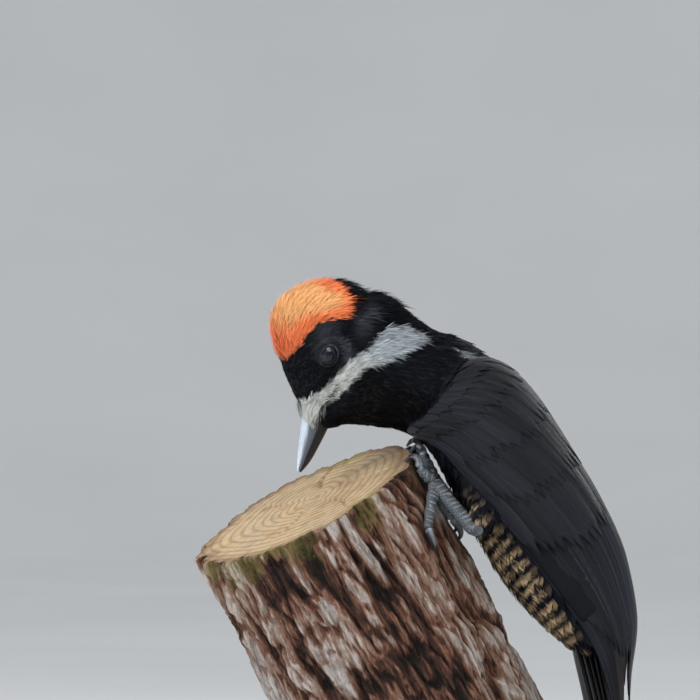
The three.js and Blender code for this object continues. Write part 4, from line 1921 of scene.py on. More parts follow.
def spread_strips(nets: Sequence[Net]) -> None:
    """Maps large feathers: a strip for each, with both of its faces side by side.

    Args:
        nets: The feathers, whose maps are set.
    """
    for number, net in enumerate(nets):
        across, along, _ = net.paint["vane"].T
        face = net.paint.pop("face")[:, 0]
        place = (number + 0.5 * face + 0.25 + 0.23 * across) / len(nets)
        net.bake = np.stack([place, 0.01 + 0.98 * along], -1)


@dataclass
class Tail:
    """Stiff pointed tail feathers that prop on the bark.

    Stations are [x, z, thickness, side], half sizes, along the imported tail.
    """

    stations: tuple = (
        (64, 194, 5, 12),
        (70.5, 176, 6, 16),
        (76.5, 153, 4.2, 20),
        (82, 127, 3, 22),
        (86.8, 101, 2.3, 20),
        (90.6, 80, 1.6, 13),
        (92, 71.5, 1, 5),
    )
    arch: float = 52
    pairs: int = 5
    half_width: float = 6.6
    fan: float = 13.5
    shortening: tuple[float, ...] = (0, 0.055, 0.125, 0.205, 0.30)
    quill: Quill = Quill(thickness=0.35, shaft=1.0, rows=36)
    seed: int = 71

    def point(self, share: Array, sideways: Array, height: Array) -> Array:
        """Points at a distance to the left of the tail's middle, at a share of its half thickness.

        Args:
            share: Shares of the tail's length.
            sideways: Distances to the left.
            height: Shares of the half thickness.

        Returns:
            The points.
        """
        x, z, thick, _ = np.moveaxis(read_table(self.stations, share), -1, 0)
        rise = height * thick - sideways**2 / (2 * self.arch)
        middle = np.stack([x, np.zeros_like(x), z], -1)
        return middle + NEAR * sideways[..., None] + back_way(self.stations, share) * rise[..., None]

    def build(self, finish: Finish) -> Piece:
        """Makes the tail as one piece.

        Args:
            finish: What it is made of.

        Returns:
            The piece.
        """
        random = np.random.default_rng(self.seed)
        places = [(pair, side) for pair in range(self.pairs) for side in (BIRD_LEFT, BIRD_RIGHT)]
        nets = [self.feather(pair, side, random) for pair, side in places]
        spread_strips(nets)
        piece = Net.joined(nets).piece("tail_feathers", "plumage", [finish])
        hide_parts("tail")
        return piece

    def feather(self, pair: int, side: int, random: Random) -> Net:
        """One tail feather; pair 0 is in the middle and on top.

        Args:
            pair: Which pair it belongs to.
            side: Which side of the bird it is on.
            random: The source of the draws.

        Returns:
            Its net.
        """
        end = 0.985 - self.shortening[pair]
        layer = 0.62 - 0.36 * pair + 0.05 * side
        spread = (pair + 0.42) / self.pairs

        def place(along: Array, across: Array) -> Array:
            """Points of the vane.

            Args:
                along: Shares of its length.
                across: Shares of its half width.

            Returns:
                The points.
            """
            share = 0.02 + (end - 0.02) * along
            worn = 1 - ease(0.55, 1, along) ** 1.1
            wide = self.half_width * (0.5 + 0.5 * ease(0, 0.35, along)) * (0.05 + 0.95 * worn)
            ragged = 1 + 0.05 * np.sin(70 * along + 3 * pair) * (np.abs(across) > 0.9) * ease(0.5, 0.9, along)
            limit = read_table(self.stations, share)[..., 3]
            middle = np.minimum(spread * (3.5 + self.fan * ease(0, 0.6, along)), limit)
            sideways = side * middle + across * wide * ragged
            return self.point(share, sideways, layer - 0.12 * across**2)

        def out(along: Array, across: Array) -> Array:
            """The way to the back."""
            return back_way(self.stations, 0.02 + (end - 0.02) * along)

        worn = 0.5 * ease(0.75, 1, np.linspace(0, 1, self.quill.rows))
        tint = blend(Tone.TAIL_BLACK.rows(self.quill.rows), Tone.WORN_BROWN.rows(1), worn)
        return self.quill.net(place, out, tint, random.random())


# ---- Bill, eyes and feet ----


class Jaw(Enum):
    """The two halves of the bill, by the way they stand from the line where they meet."""

    UPPER = 1
    LOWER = -1


@dataclass
class Bill:
    """A straight bill with a ridged culmen and a blunt chisel tip.

    Each station is [back, top, bottom, side] in the head's axes.
    """

    stations: tuple = (
        (9, 1, -15, 6.9),
        (0, 0, -14, 6.2),
        (-10, -2, -12.5, 4.7),
        (-19, -4, -10.8, 2.9),
        (-24, -5.5, -9, 1.7),
        (-26.4, -6.3, -7.8, 0.8),
    )
    mouth: float = -7.3  # height of the line where the halves meet
    gap: float = 0.15
    ridge: float = 0.30  # height of the ridge along each side of the culmen
    rows: int = 90
    columns: int = 48

    def half(self, jaw: Jaw, finish: Finish) -> Piece:
        """Makes one half of the bill.

        Args:
            jaw: Which half.
            finish: What it is made of.

        Returns:
            The piece.
        """
        share = np.linspace(0, 1, self.rows)[:, None]
        back, top, bottom, wide = np.moveaxis(read_table(self.stations, share), -1, 0)
        edge = top if jaw is Jaw.UPPER else bottom
        angle = np.linspace(0, math.pi, self.columns)[None]
        lean = 1.45 if jaw is Jaw.UPPER else 1.7
        arch = (1 - np.abs(np.cos(angle)) ** lean) ** 0.9
        end = round_ends(share, 0.005, 0.035)
        left = wide * np.cos(angle) * (1 - 0.10 * np.sin(angle) ** 2) * end
        crease = hill(np.abs(np.cos(angle)), 0.5, 0.13) * ease(0.98, 0.6, share) * ease(0.1, 0.3, share)
        left = left + np.sign(np.cos(angle)) * self.ridge * crease * (jaw is Jaw.UPPER)
        places = np.stack(np.broadcast_arrays(back * 0.5, np.cos(angle) * 2.5, np.sin(angle)), -1)
        wear = 0.05 * layered_noise(places, 3, 4)
        up = self.mouth + (self.gap + np.abs(edge - self.mouth) * arch * end + wear * end) * jaw.value
        roof = HEAD.place(back, up, left)
        floor = HEAD.place(back, np.full_like(up, self.mouth + self.gap * jaw.value), left * 0.96)[:, -2:0:-1]
        net = Net.capped(np.concatenate([roof, floor], 1))
        under = Tone.DARK_HORN.rows(self.rows)[:, None].repeat(floor.shape[1], 1)
        tint = np.concatenate([self.tints(jaw, share, angle, back), under], 1)
        net.paint["tint"] = np.concatenate([tint.reshape(-1, 4), tint[0, :1], tint[-1, :1]])
        name = f"bill_{jaw.name.lower()}"
        piece = net.piece(name + "_horn", "horn", [finish])
        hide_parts(name)
        return piece

    def tints(self, jaw: Jaw, share: Array, angle: Array, back: Array) -> Array:
        """Colours of one half: pale along the culmen, as pale horn with a painted highlight over it, and
        slate at the sides that darkens towards the mouth.

        Args:
            jaw: Which half.
            share: Shares of its length.
            angle: Angles round it.
            back: Places along it, in the head's level axes.

        Returns:
            A colour for each place.
        """
        shape = np.broadcast_shapes(share.shape, angle.shape)
        places = np.stack(np.broadcast_arrays(back * 0.07, np.cos(angle) * 13, share), -1)
        streaks = layered_noise(places, 3, 9)
        high = np.sin(angle) * (jaw is Jaw.UPPER)
        dark, slate = (tone.rows(1)[None] for tone in (Tone.DARK_HORN, Tone.SLATE))
        tint = blend(dark, slate, ease(0.1, 0.75, high + 0.3 * streaks))
        # pale horn along the culmen, with a painted highlight over it
        pale = ease(0.70, 0.96, high + 0.22 * streaks) * (0.7 + 0.3 * ease(0.3, 1, share))
        tint = blend(tint, Tone.PALE_HORN_AND_HIGHLIGHT.rows(1), np.broadcast_to(pale, shape))
        tint = blend(tint, Tone.DARK_HORN.rows(1), np.broadcast_to(0.75 * ease(0.12, 0.6, streaks), shape))
        # the upper side of the tip is paler, partly pale horn and partly painted highlight
        tip = ease(0.9, 1, share) * 0.45 * ease(-0.2, 0.6, high) * np.ones(shape)
        return blend(tint, Tone.PALE_HORN_AND_HIGHLIGHT.rows(1), tip)


def side_name(side: int) -> str:
    """The word for a side in the names of pieces."""
    return "left" if side == BIRD_LEFT else "right"


@dataclass
class Eye:
    """An eyeball under two lids that make a thin ring."""

    side: int
    back: float = 27.8
    up: float = 3.6
    left: float = 13.3
    radius: float = 6
    lean: float = 0.17  # how far it looks down
    cornea: float = 0.012  # how much it bulges in front
    pupil: float = 21  # degrees from the middle of the eye, as the next ones
    iris: float = 37
    ball_end: float = 110
    lid: tuple[float, float] = (49, 38)  # where the lid's edge lies, along the head and across it
    lid_end: float = 84
    lid_fold: float = 26  # how many degrees the rim and the folds take up
    rows: int = 40
    columns: int = 64
    lid_rows: int = 32
    lid_columns: int = 96

    def frame(self, skin: Skin) -> tuple[Array, Array, Array, Array]:
        """The eye's middle, the way it looks, and the ways back and up across it.

        Args:
            skin: The skin round the eye.

        Returns:
            The middle and the three unit ways.
        """
        middle = HEAD.place(self.back, self.up, self.left * self.side)
        outer = HEAD.place(self.back, self.up, (self.left + self.radius) * self.side)
        around = np.stack([outer + 4 * step for step in (HEAD.back, -HEAD.back, HEAD.up, -HEAD.up)])
        _, normals = skin.nearest(around)
        looks = unit(unit(normals.mean(0) + HEAD.left * self.side) - self.lean * HEAD.up)
        back = unit(HEAD.back - HEAD.back @ looks * looks)
        return middle, looks, back, np.cross(looks, back) * self.side

    def ball(self, skin: Skin, finish: Finish) -> Piece:
        """Makes the eyeball.

        Args:
            skin: The skin round the eye.
            finish: What it is made of.

        Returns:
            The piece.
        """
        middle, looks, back, up = self.frame(skin)
        end = math.radians(self.ball_end)
        polar = np.linspace(0.0, end, self.rows)[1:, None]
        turn = turns(self.columns)[None]
        bulge = self.radius * (1 + self.cornea * hill(polar, 0, 0.55))
        points = middle + bulge[..., None] * swing(polar, looks, swing(turn, back, up))
        pole = middle + looks * self.radius * (1 + self.cornea)
        net = Net.capped(points, [pole, middle + looks * self.radius * math.cos(end)])
        degrees = np.degrees(np.repeat(polar[:, 0], self.columns))
        rays = 0.25 * np.sin(np.tile(turn[0], self.rows - 1) * 23 + degrees)
        pupil = ease(self.pupil + 1, self.pupil - 1, degrees)
        tint = blend(Tone.IRIS.rows(len(degrees)), Tone.PUPIL.rows(1), pupil)
        tint[:, :3] *= (1 + rays)[:, None]
        tint = blend(tint, Tone.PUPIL.rows(1), 0.7 * ease(self.iris - 2, self.iris, degrees))
        net.paint["tint"] = np.concatenate([tint, Tone.PUPIL.rows(2)])
        name = f"eye_{side_name(self.side)}"
        piece = net.piece(name + "_ball", "eye", [finish])
        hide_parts(name)
        return piece

    def lids(self, skin: Skin, finish: Finish) -> Piece:
        """Makes the ring of the lids, which runs out under the feathers.

        Args:
            skin: The skin round the eye.
            finish: What they are made of.

        Returns:
            The piece.
        """
        middle, looks, back, up = self.frame(skin)
        share = np.linspace(0, 1, self.lid_rows)[:, None]
        turn = turns(self.lid_columns)[None]
        edge = np.hypot(self.lid[0] * np.cos(turn), self.lid[1] * np.sin(turn))
        polar = np.radians(edge + (self.lid_end - edge) * share)
        away = share * (self.lid_end - edge) / self.lid_fold
        rim = 0.26 * hill(away, 0.16, 0.13) * (1 + 0.16 * np.sin(turn * 30))
        folds = 0.08 * np.sin(away * 26) * ease(0.25, 0.4, away)
        reach = self.radius + 0.02 + 0.25 * quarter(away / 0.06) + rim + folds - 0.12 * ease(0.25, 0.6, away)
        points = middle + reach[..., None] * swing(polar, looks, swing(turn, back, up))
        net = Net(points.reshape(-1, 3), grid_quads(*reach.shape, closed=True))
        # painted light: the grey rim of the lids is painted lighter on one side and patchy round it, as if
        # lit; the grey itself is the lids' own colour
        lit = 0.22 + 0.2 * np.cos(turn) + 0.25 * np.sin(turn * 5 + 1) * np.sin(turn * 3)
        pale = (ease(0.34, 0.14, away) * (lit + 0.15 * np.sin(turn * 30)).clip(0.05, 1)).ravel()
        net.paint["tint"] = blend(Tone.FACE_BLACK.rows(len(net.points)), Tone.LID_GREY.rows(1), pale)
        return net.facing(looks).piece(f"eyelids_{side_name(self.side)}", "plumage", [finish])


@dataclass
class Foot:
    """A shin and four toes with scutes and claws, gripping the bark at places on the perch."""

    side: int
    heel: tuple[float, float, float] = (46, 28.4, 16.5)
    knuckle: tuple[float, float, float] = (16, 23, 6.2)
    toes: tuple = (
        ((16, 23, 6.2), (23, 21, 5), (30, 17.5, 3.4), (35, 15, 3)),
        ((16, 23, 6.2), (12, 25, 5.4), (8, 24.5, 3.8)),
        ((16, 23, 6.2), (11.5, 17, 5.2), (7.5, 12, 3.8), (4.6, 8.5, 3)),
        ((16, 23, 6.2), (20, 25.5, 5.2), (25, 30.5, 3.6), (29.5, 35.5, 3.1), (33.4, 39.5, 3)),
    )
    claws: tuple = (
        ((35, 15, 3), (40, 13.5, 3.8), (43.5, 12.5, 2.8), (45.5, 12, -0.2)),
        ((8, 24.5, 3.8), (4.5, 23.5, 4.6), (2.2, 22.5, 2.4), (3.4, 22, -2)),
        ((4.6, 8.5, 3), (1.6, 6, 3.8), (-0.8, 5, 1.8), (0.4, 4.8, -2.2)),
        ((33.4, 39.5, 3), (37.6, 41.3, 3.8), (40.8, 41, 2.8), (42.8, 39.3, -0.2)),
    )
    toe_radius: float = 2.45
    shin_radius: float = 2.9
    claw_radius: float = 1.85
    scute: float = 2.6  # length of one scute
    scute_rise: float = 0.10
    columns: int = 32

    def line(self, places: Sequence[Sequence[float]], step: float) -> Array:
        """Even steps along a line through places on the perch."""
        points = np.stack([PERCH.place(place, self.side) for place in places])
        return smooth_line(points, max(12, int(line_length(points) / step)))

    def scutes(self, count: int, share: Array, angle: Array) -> tuple[Array, Array]:
        """How far along its scute each place is, from 0 to 1, and how much scutes cover it.

        Args:
            count: How many lie along the limb.
            share: Shares of its length.
            angle: Angles from its top.

        Returns:
            The two values at each place.
        """
        uneven = 0.16 * np.sin(share * 37 + 1) + 0.12 * np.sin(share * 71)
        bent = share * count + uneven + 0.45 * (1 - np.cos(angle)) + 0.10 * np.sin(angle * 2 + share * 19)
        return np.mod(bent, 1), ease(-0.1, 0.5, np.cos(angle))

    def scaly(self, line: Array, radius: Measure) -> Net:
        """A limb with scutes over its top, granules at its sides and pads below.

        Args:
            line: Its middle line.
            radius: Its radius at a share of its length.

        Returns:
            The closed net.
        """
        count = round(line_length(line) / self.scute)

        def reach(share: Array, angle: Array) -> Array:
            """The radius at a share of the length and an angle from the top.

            Args:
                share: Shares of the length.
                angle: Angles from the top.

            Returns:
                The radii.
            """
            saw, top = self.scutes(count, share, angle)
            scutes = self.scute_rise * (np.sin(saw * math.pi) ** 0.5 * (0.6 + 0.8 * saw) - 0.7) * top
            beads = 0.05 * np.sin(angle * 8) * np.sin(share * count * 1.7 * math.tau) * (1 - top)
            return radius(share) * (1 + scutes + beads)

        net = tube_net(line, reach, self.columns, unit(PERCH.radial(line)))
        share, angle = net.paint["way"].T
        saw, top = self.scutes(count, share, angle)
        groove = ease(0.16, 0.02, saw) * top
        lip = ease(0.62, 0.92, saw) * top
        beads = ease(0.1, 0.8, np.sin(angle * 8) * np.sin(share * count * 1.7 * math.tau)) * (1 - top)
        tint = blend(Tone.FOOT_SLATE.rows(len(share)), Tone.FOOT_EDGE.rows(1), 0.36 * lip + 0.3 * beads)
        net.paint = {"tint": blend(tint, Tone.DARK_HORN.rows(1), 0.75 * groove)}
        return net

    def toe(self, places: Sequence[Sequence[float]]) -> Net:
        """One toe, which swells at its joints and ends in the root of its claw."""
        return self.scaly(
            self.line(places, 0.22),
            lambda share: self.toe_radius * (1 + 0.1 * np.cos(share * 6 * math.pi))
            * round_ends(share, 0.12, 0.1) * (1.1 - 0.25 * share),
        )

    def shin(self) -> Net:
        """The shin from the knuckle to the heel, where it bends up into the feathers of the thigh.

        Returns:
            The closed net.
        """
        knuckle, heel = (PERCH.place(place, self.side) for place in (self.knuckle, self.heel))
        hip = np.array(ZONES.thigh[0]) * np.array([1, self.side, 1])
        bend = heel + 0.10 * (knuckle - heel) + 0.03 * (hip - heel)
        stops = (knuckle, 0.5 * (knuckle + heel), bend, heel + 0.2 * (hip - heel), heel + 0.6 * (hip - heel))
        return self.scaly(
            smooth_line(np.array(stops), int(line_length(stops) / 0.25)),
            lambda share: self.shin_radius * round_ends(share, 0.08, 0.3)
            * (1 + 0.22 * ease(0.2, 0, share) + 0.22 * hill(share, 0.60, 0.09)),
        )

    def claw(self, places: Sequence[Sequence[float]]) -> Net:
        """One claw, deeper than it is wide, with a groove along each side.

        Args:
            places: Places of its middle line on the perch.

        Returns:
            The closed net.
        """
        line = self.line(places, 0.18)

        def reach(share: Array, angle: Array) -> Array:
            """The radius at a share of the length and an angle from the top."""
            radius = self.claw_radius * round_ends(share, 0.12, 0.05) * (1 - 0.82 * share**2.0)
            return radius * (1 - 0.22 * np.sin(angle) ** 2 - 0.06 * hill(np.abs(np.sin(angle)), 1, 0.08))

        net = tube_net(line, reach, self.columns, unit(PERCH.radial(line)))
        share, angle = net.paint["way"].T
        pale = 0.55 * ease(0.25, 0, share) + 0.35 * ease(0.5, 1, np.cos(angle))
        dark = Tone.DARK_HORN.rows(len(share))
        net.paint = {"tint": blend(dark, Tone.PALE_HORN_AND_HIGHLIGHT.rows(1), 0.5 * pale.clip(0, 1))}
        return net

    def build(self, scales: Finish, horn: Finish) -> list[Piece]:
        """Makes the foot and its claws.

        Args:
            scales: What the foot is made of.
            horn: What the claws are made of.

        Returns:
            The two pieces.
        """
        name = side_name(self.side)
        foot = Net.joined([self.shin(), *(self.toe(places) for places in self.toes)])
        foot_piece = foot.piece(f"foot_{name}_scales", "foot_skin", [scales])
        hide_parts(f"shin_{name}", *(f"toe_{name}_{n}" for n in range(1, 5)))
        claws = Net.joined([self.claw(places) for places in self.claws])
        claw_piece = claws.piece(f"claws_{name}_horn", "horn", [horn])
        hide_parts(*(f"claw_{name}_{n}" for n in range(1, 5)))
        return [foot_piece, claw_piece]


# ---- The perch ----


@dataclass(frozen=True)
class BarkFinish:
    """Furrowed bark, coloured by its height in "relief": [height, flake, moss], with painted shade near black
    at the bottom of the furrows.
    """

    name: str = "bark"

    def make(self) -> Finish:
        """Builds the material.

        Returns:
            The material.
        """
        graph = Graph(self.name, Roughness=0.9, Specular_IOR_Level=0.2)
        height, flake, moss = graph.parts(graph.attribute("relief").outputs["Vector"])
        along = graph.node("VectorRotate", {0: graph.place(), "Angle": PERCH.lean}, rotation_type="Y_AXIS")
        fibres = graph.node("Mapping", {0: along.outputs[0], "Scale": (1, 1, 0.13)}).outputs[0]
        strands = graph.noise(fibres, 0.5, 6, 0.74)
        fine = graph.noise(fibres, 1.3, 4, 0.7)
        specks = graph.noise(graph.place(), 0.45, 5, 0.75)
        level = graph.math("ADD", height, graph.span(strands, 0.3, 0.7, -0.34, 0.34))
        # red-brown in the furrows and weathered grey on the ridges; the bottom of the furrows is painted near
        # black as painted shade
        colour = graph.ramp(level, (
            (0.12, (0.006, 0.004, 0.003)),
            (0.38, (0.050, 0.021, 0.014)),
            (0.55, (0.150, 0.068, 0.040)),
            (0.74, (0.230, 0.155, 0.120)),
            (0.96, (0.430, 0.370, 0.330)),
        ))
        grey = graph.ramp(strands, (
            (0.32, (0.09, 0.075, 0.068)), (0.52, (0.30, 0.275, 0.255)), (0.7, (0.56, 0.53, 0.50)),
        ))
        pale = graph.times(flake, graph.span(specks, 0.38, 0.55, 0, 1))
        colour = graph.mix(graph.span(pale, 0.2, 0.7, 0, 0.9), colour, grey)
        green = graph.span(graph.times(moss, specks), 0.25, 0.6, 0, 0.7)
        colour = graph.mix(green, colour, (0.14, 0.13, 0.035))
        colour = graph.shaded(colour, fine, 0.7, 1.25)
        under = graph.bump(specks, 0.8)
        rough = graph.span(fine, 0.3, 0.7, 0.8, 0.97)
        return graph.finish(colour, rough, graph.bump(fine, 0.6, graph.bump(strands, 2.2, under)))


@dataclass(frozen=True)
class SawnFinish:
    """A weathered sawn end with growth rings, from "rings": [distance from the pith, how far out, moss]."""

    name: str = "sawn_end"
    ring: float = 4.4  # width of a year's growth

    def make(self) -> Finish:
        """Builds the material.

        Returns:
            The material.
        """
        graph = Graph(self.name, Roughness=0.8, Specular_IOR_Level=0.25)
        distance, outward, moss = graph.parts(graph.attribute("rings").outputs["Vector"])
        where = graph.place()
        broad = graph.noise(where, 0.09, 3)
        fine = graph.noise(where, 0.32, 7, 0.72)
        drift = graph.noise(where, 0.03, 0)
        turn = graph.math("DIVIDE", distance, self.ring)
        wave = graph.waves(graph.math("ADD", turn, graph.times(drift, 2.0)))
        colour = graph.ramp(broad, (
            (0.3, (0.27, 0.18, 0.095)), (0.5, (0.40, 0.29, 0.165)), (0.7, (0.30, 0.235, 0.16)),
        ))
        colour = graph.mix(graph.span(wave, 0.5, 1, 0, 0.42), colour, (0.130, 0.078, 0.042))
        rim = graph.span(outward, PERCH.radius - 8, PERCH.radius, 0, 0.75)
        colour = graph.mix(rim, colour, (0.10, 0.048, 0.028))
        green = graph.span(graph.times(moss, fine), 0.22, 0.5, 0, 0.8)
        colour = graph.mix(green, colour, (0.16, 0.15, 0.035))
        colour = graph.shaded(colour, fine, 0.55, 1.4)
        return graph.finish(colour, graph.span(wave, 0, 1, 0.72, 0.9), graph.bump(fine, 0.9))


@dataclass
class Perch:
    """A short cut length of a leaning trunk with deeply furrowed bark."""

    around: int = 400
    along: int = 290
    rings: int = 46
    furrow: float = 6.2  # depth of the deepest furrows
    proud: float = 0.6
    foot_room: float = 9  # how near the toes the furrows fade
    held_furrow: float = 1.3  # depth of the furrows under the toes
    pith: tuple[float, float] = (6.0, -4.0)  # where the growth rings have their middle
    cracks: int = 7

    def bark(self, angle: Array, along: Array) -> tuple[Array, Array]:
        """Heights of the bark from 0 to 1, and where pale flakes lie.

        Args:
            angle: Angles round the trunk.
            along: Places along it.

        Returns:
            The heights and the flakes.
        """
        def cells(turn: Array, across: float, down: float, start: float = 0) -> Array:
            """Places for noise, with this many cells for each millimetre round the trunk and along it."""
            ring = (np.cos(turn) * PERCH.radius, np.sin(turn) * PERCH.radius, along)
            return np.stack(ring, -1) * np.array([across, across, down]) + start

        bend = 5.5 * layered_noise(cells(angle, 0.03, 0.022), 2, 21)
        turned = angle + bend / PERCH.radius + 0.0025 * along
        broad = np.abs(layered_noise(cells(turned, 0.085, 0.016), 2, 31))
        plates = np.abs(layered_noise(cells(turned, 0.16, 0.045, 40), 2, 35))
        strips = np.abs(layered_noise(cells(turned, 0.34, 0.085, 90), 2, 38))
        splinters = layered_noise(cells(turned, 0.8, 0.16, 7), 2, 44)
        steps = value_noise(cells(turned, 0.10, 0.14, 15), 50)
        height = 0.42 * ease(0.02, 0.30, broad) + 0.26 * ease(0.02, 0.25, plates)
        height = height + 0.20 * ease(0.0, 0.3, strips) + 0.12 * splinters + 0.08 * steps
        flake = ease(0.62, 0.95, height + 0.25 * value_noise(cells(turned, 0.07, 0.03), 53))
        return np.clip(height, 0, 1), flake

    def near_feet(self, points: Array) -> Array:
        """1 where the toes grip, so that the bark stays under them.

        Args:
            points: Places on the bark.

        Returns:
            A value from 0 to 1 for each.
        """
        grips = np.concatenate([
            foot.line(places, 2.5)
            for foot in (Foot(BIRD_LEFT), Foot(BIRD_RIGHT)) for places in (*foot.toes, *foot.claws)
        ])
        gap = np.min([np.linalg.norm(points - grip, axis=-1) for grip in grips], axis=0)
        return ease(self.foot_room, self.foot_room * 0.45, gap)

    def build(self, bark: Finish, sawn: Finish) -> Piece:
        """Makes the perch as one piece.

        Args:
            bark: What the side is made of.
            sawn: What the ends are made of.

        Returns:
            The piece.
        """
        net = Net.joined([self.side(), self.end(0), self.end(1)])
        piece = net.piece("perch_trunk", "bark", [bark, sawn])
        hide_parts("perch")
        return piece

    def side(self) -> Net:
        """The bark.

        Returns:
            The open net.
        """
        angle = turns(self.around)[None]
        share = np.linspace(0, 1, self.along)[:, None]
        reach = np.full((self.along, self.around), PERCH.radius)
        for _ in range(3):
            top, foot = PERCH.ends(angle, reach)
            down = top + (foot - top) * share
            waves = PERCH.radius + PERCH.relief(angle, down)
            height, flake = self.bark(np.broadcast_to(angle, down.shape), down)
            held = self.near_feet(PERCH.point(down, angle, waves))
            depth = self.furrow * (1 - height)
            held_depth = depth * (1 - held) + held * np.minimum(depth, self.held_furrow)
            edge = 1 - quarter(np.minimum(down - top, foot - down) / 1.8)
            reach = waves + self.proud - np.where(held > 0, held_depth, depth) - 1.2 * edge
        points = PERCH.point(down, angle, reach)
        moss = ease(26, 4, down - top) * ease(-0.2, 0.5, value_noise(points / 14, 61))
        paint = np.stack(np.broadcast_arrays(height, flake * (1 - 0.6 * moss), moss), -1).reshape(-1, 3)
        net = Net(points.reshape(-1, 3), grid_quads(self.along, self.around, closed=True))
        net.paint = {"relief": paint, "rings": np.zeros_like(paint)}
        net.slots = np.zeros(len(net.quads), int)
        self.rims = (reach[0], reach[-1])
        return net.facing(PERCH.radial(net.points[net.quads].mean(1)))

    def end(self, which: int) -> Net:
        """The sawn top, 0, or the level foot, 1.

        Args:
            which: Which end.

        Returns:
            Its net.
        """
        angle = turns(self.around)[None]
        share = np.linspace(1, 0, self.rings)[:-1, None] ** 0.8
        reach = self.rims[which][None] * share
        down = PERCH.ends(angle, reach)[which]
        flat = np.stack([np.cos(angle) * reach - self.pith[0], np.sin(angle) * reach - self.pith[1]], -1)
        distance = np.linalg.norm(flat, axis=-1) * (1 + 0.03 * np.sin(3 * angle + 1))
        outward = np.broadcast_to(share * PERCH.radius, distance.shape)
        turn = np.arctan2(flat[..., 1], flat[..., 0])
        bent = turn - 0.05 * np.sin(distance / 5)
        crack = sum(
            hill(np.angle(np.exp(1j * (bent - start))) * distance, 0, 0.9)
            * ease(length, length - 12, np.abs(distance - 44 + length))
            for start, length in zip(np.linspace(0.3, 5.9, self.cracks), np.tile([14, 24, 18], 3))
        )
        saw_marks = np.stack([flat[..., 0] * 0.13, flat[..., 1] * 0.05, distance * 0], -1)
        rough = 0.3 * layered_noise(saw_marks, 2, 66)
        sink = (1.6 * crack.clip(0, 1) + 0.25 + rough) * ease(1.0, 0.985, share)
        points = PERCH.point(down + sink * (0 if which else 1), angle, reach)
        middle = PERCH.point(np.array([down[-1].mean() + (0 if which else 0.3)]), np.zeros(1), np.zeros(1))
        count = points.shape[0] * self.around
        k = np.arange(self.around)
        last = count - self.around
        fan = np.stack([last + k, last + (k + 1) % self.around, np.full(self.around, count)], -1)
        quads = grid_quads(len(points), self.around, closed=True)
        net = Net(np.concatenate([points.reshape(-1, 3), middle]), quads, fan)
        moss = ease(38, 52, outward) * ease(-0.3, 0.6, value_noise(points / 11, 63))
        rings = np.stack([distance, outward, moss], -1).reshape(-1, 3)
        rings = np.concatenate([rings, np.zeros((1, 3))])
        net.paint = {"relief": np.full((count + 1, 3), 0.3), "rings": rings}
        net.slots = np.ones(len(quads) + len(fan), int)
        return net.facing(PERCH.down if which else -PERCH.down)


# ---- The stand ----


@dataclass(frozen=True)
class StainedWoodFinish:
    """Dark stained wood with its grain along the length, under a satin varnish."""

    name: str = "stand_wood"

    def make(self) -> Finish:
        """Builds the material.

        Returns:
            The material.
        """
        graph = Graph(self.name, Roughness=0.35, Coat_Weight=0.3, Coat_Roughness=0.18)
        bent = graph.noise(graph.place(), 0.02, 2)
        where = graph.place((0.03, 1, 1))
        shift = graph.node("CombineXYZ", {1: graph.span(bent, 0, 1, 0, 7)}).outputs[0]
        warped = graph.node("VectorMath", {0: where, 1: shift}, operation="ADD").outputs[0]
        grain = graph.noise(warped, 0.35, 5, 0.6)
        pores = graph.noise(graph.place((0.10, 2.6, 2.6)), 1.0, 3)
        colour = graph.ramp(grain, (
            (0.3, (0.012, 0.008, 0.006)), (0.55, (0.036, 0.022, 0.015)), (0.72, (0.060, 0.038, 0.025)),
        ))
        colour = graph.shaded(colour, pores, 0.75, 1.15)
        return graph.finish(colour, graph.span(pores, 0.3, 0.7, 0.3, 0.45), graph.bump(pores, 0.06))


@dataclass(frozen=True)
class SteelFinish:
    """Steel brushed round its rods."""

    name: str = "stand_steel"

    def make(self) -> Finish:
        """Builds the material.

        Returns:
            The material.
        """
        graph = Graph(self.name, Metallic=1.0, Roughness=0.3)
        lines = graph.noise(graph.place((0.15, 0.15, 6)), 1.2, 3)
        colour = graph.ramp(lines, ((0.3, (0.42, 0.43, 0.44)), (0.7, (0.60, 0.61, 0.62))))
        return graph.finish(colour, graph.span(lines, 0.3, 0.7, 0.24, 0.38), graph.bump(lines, 0.02))


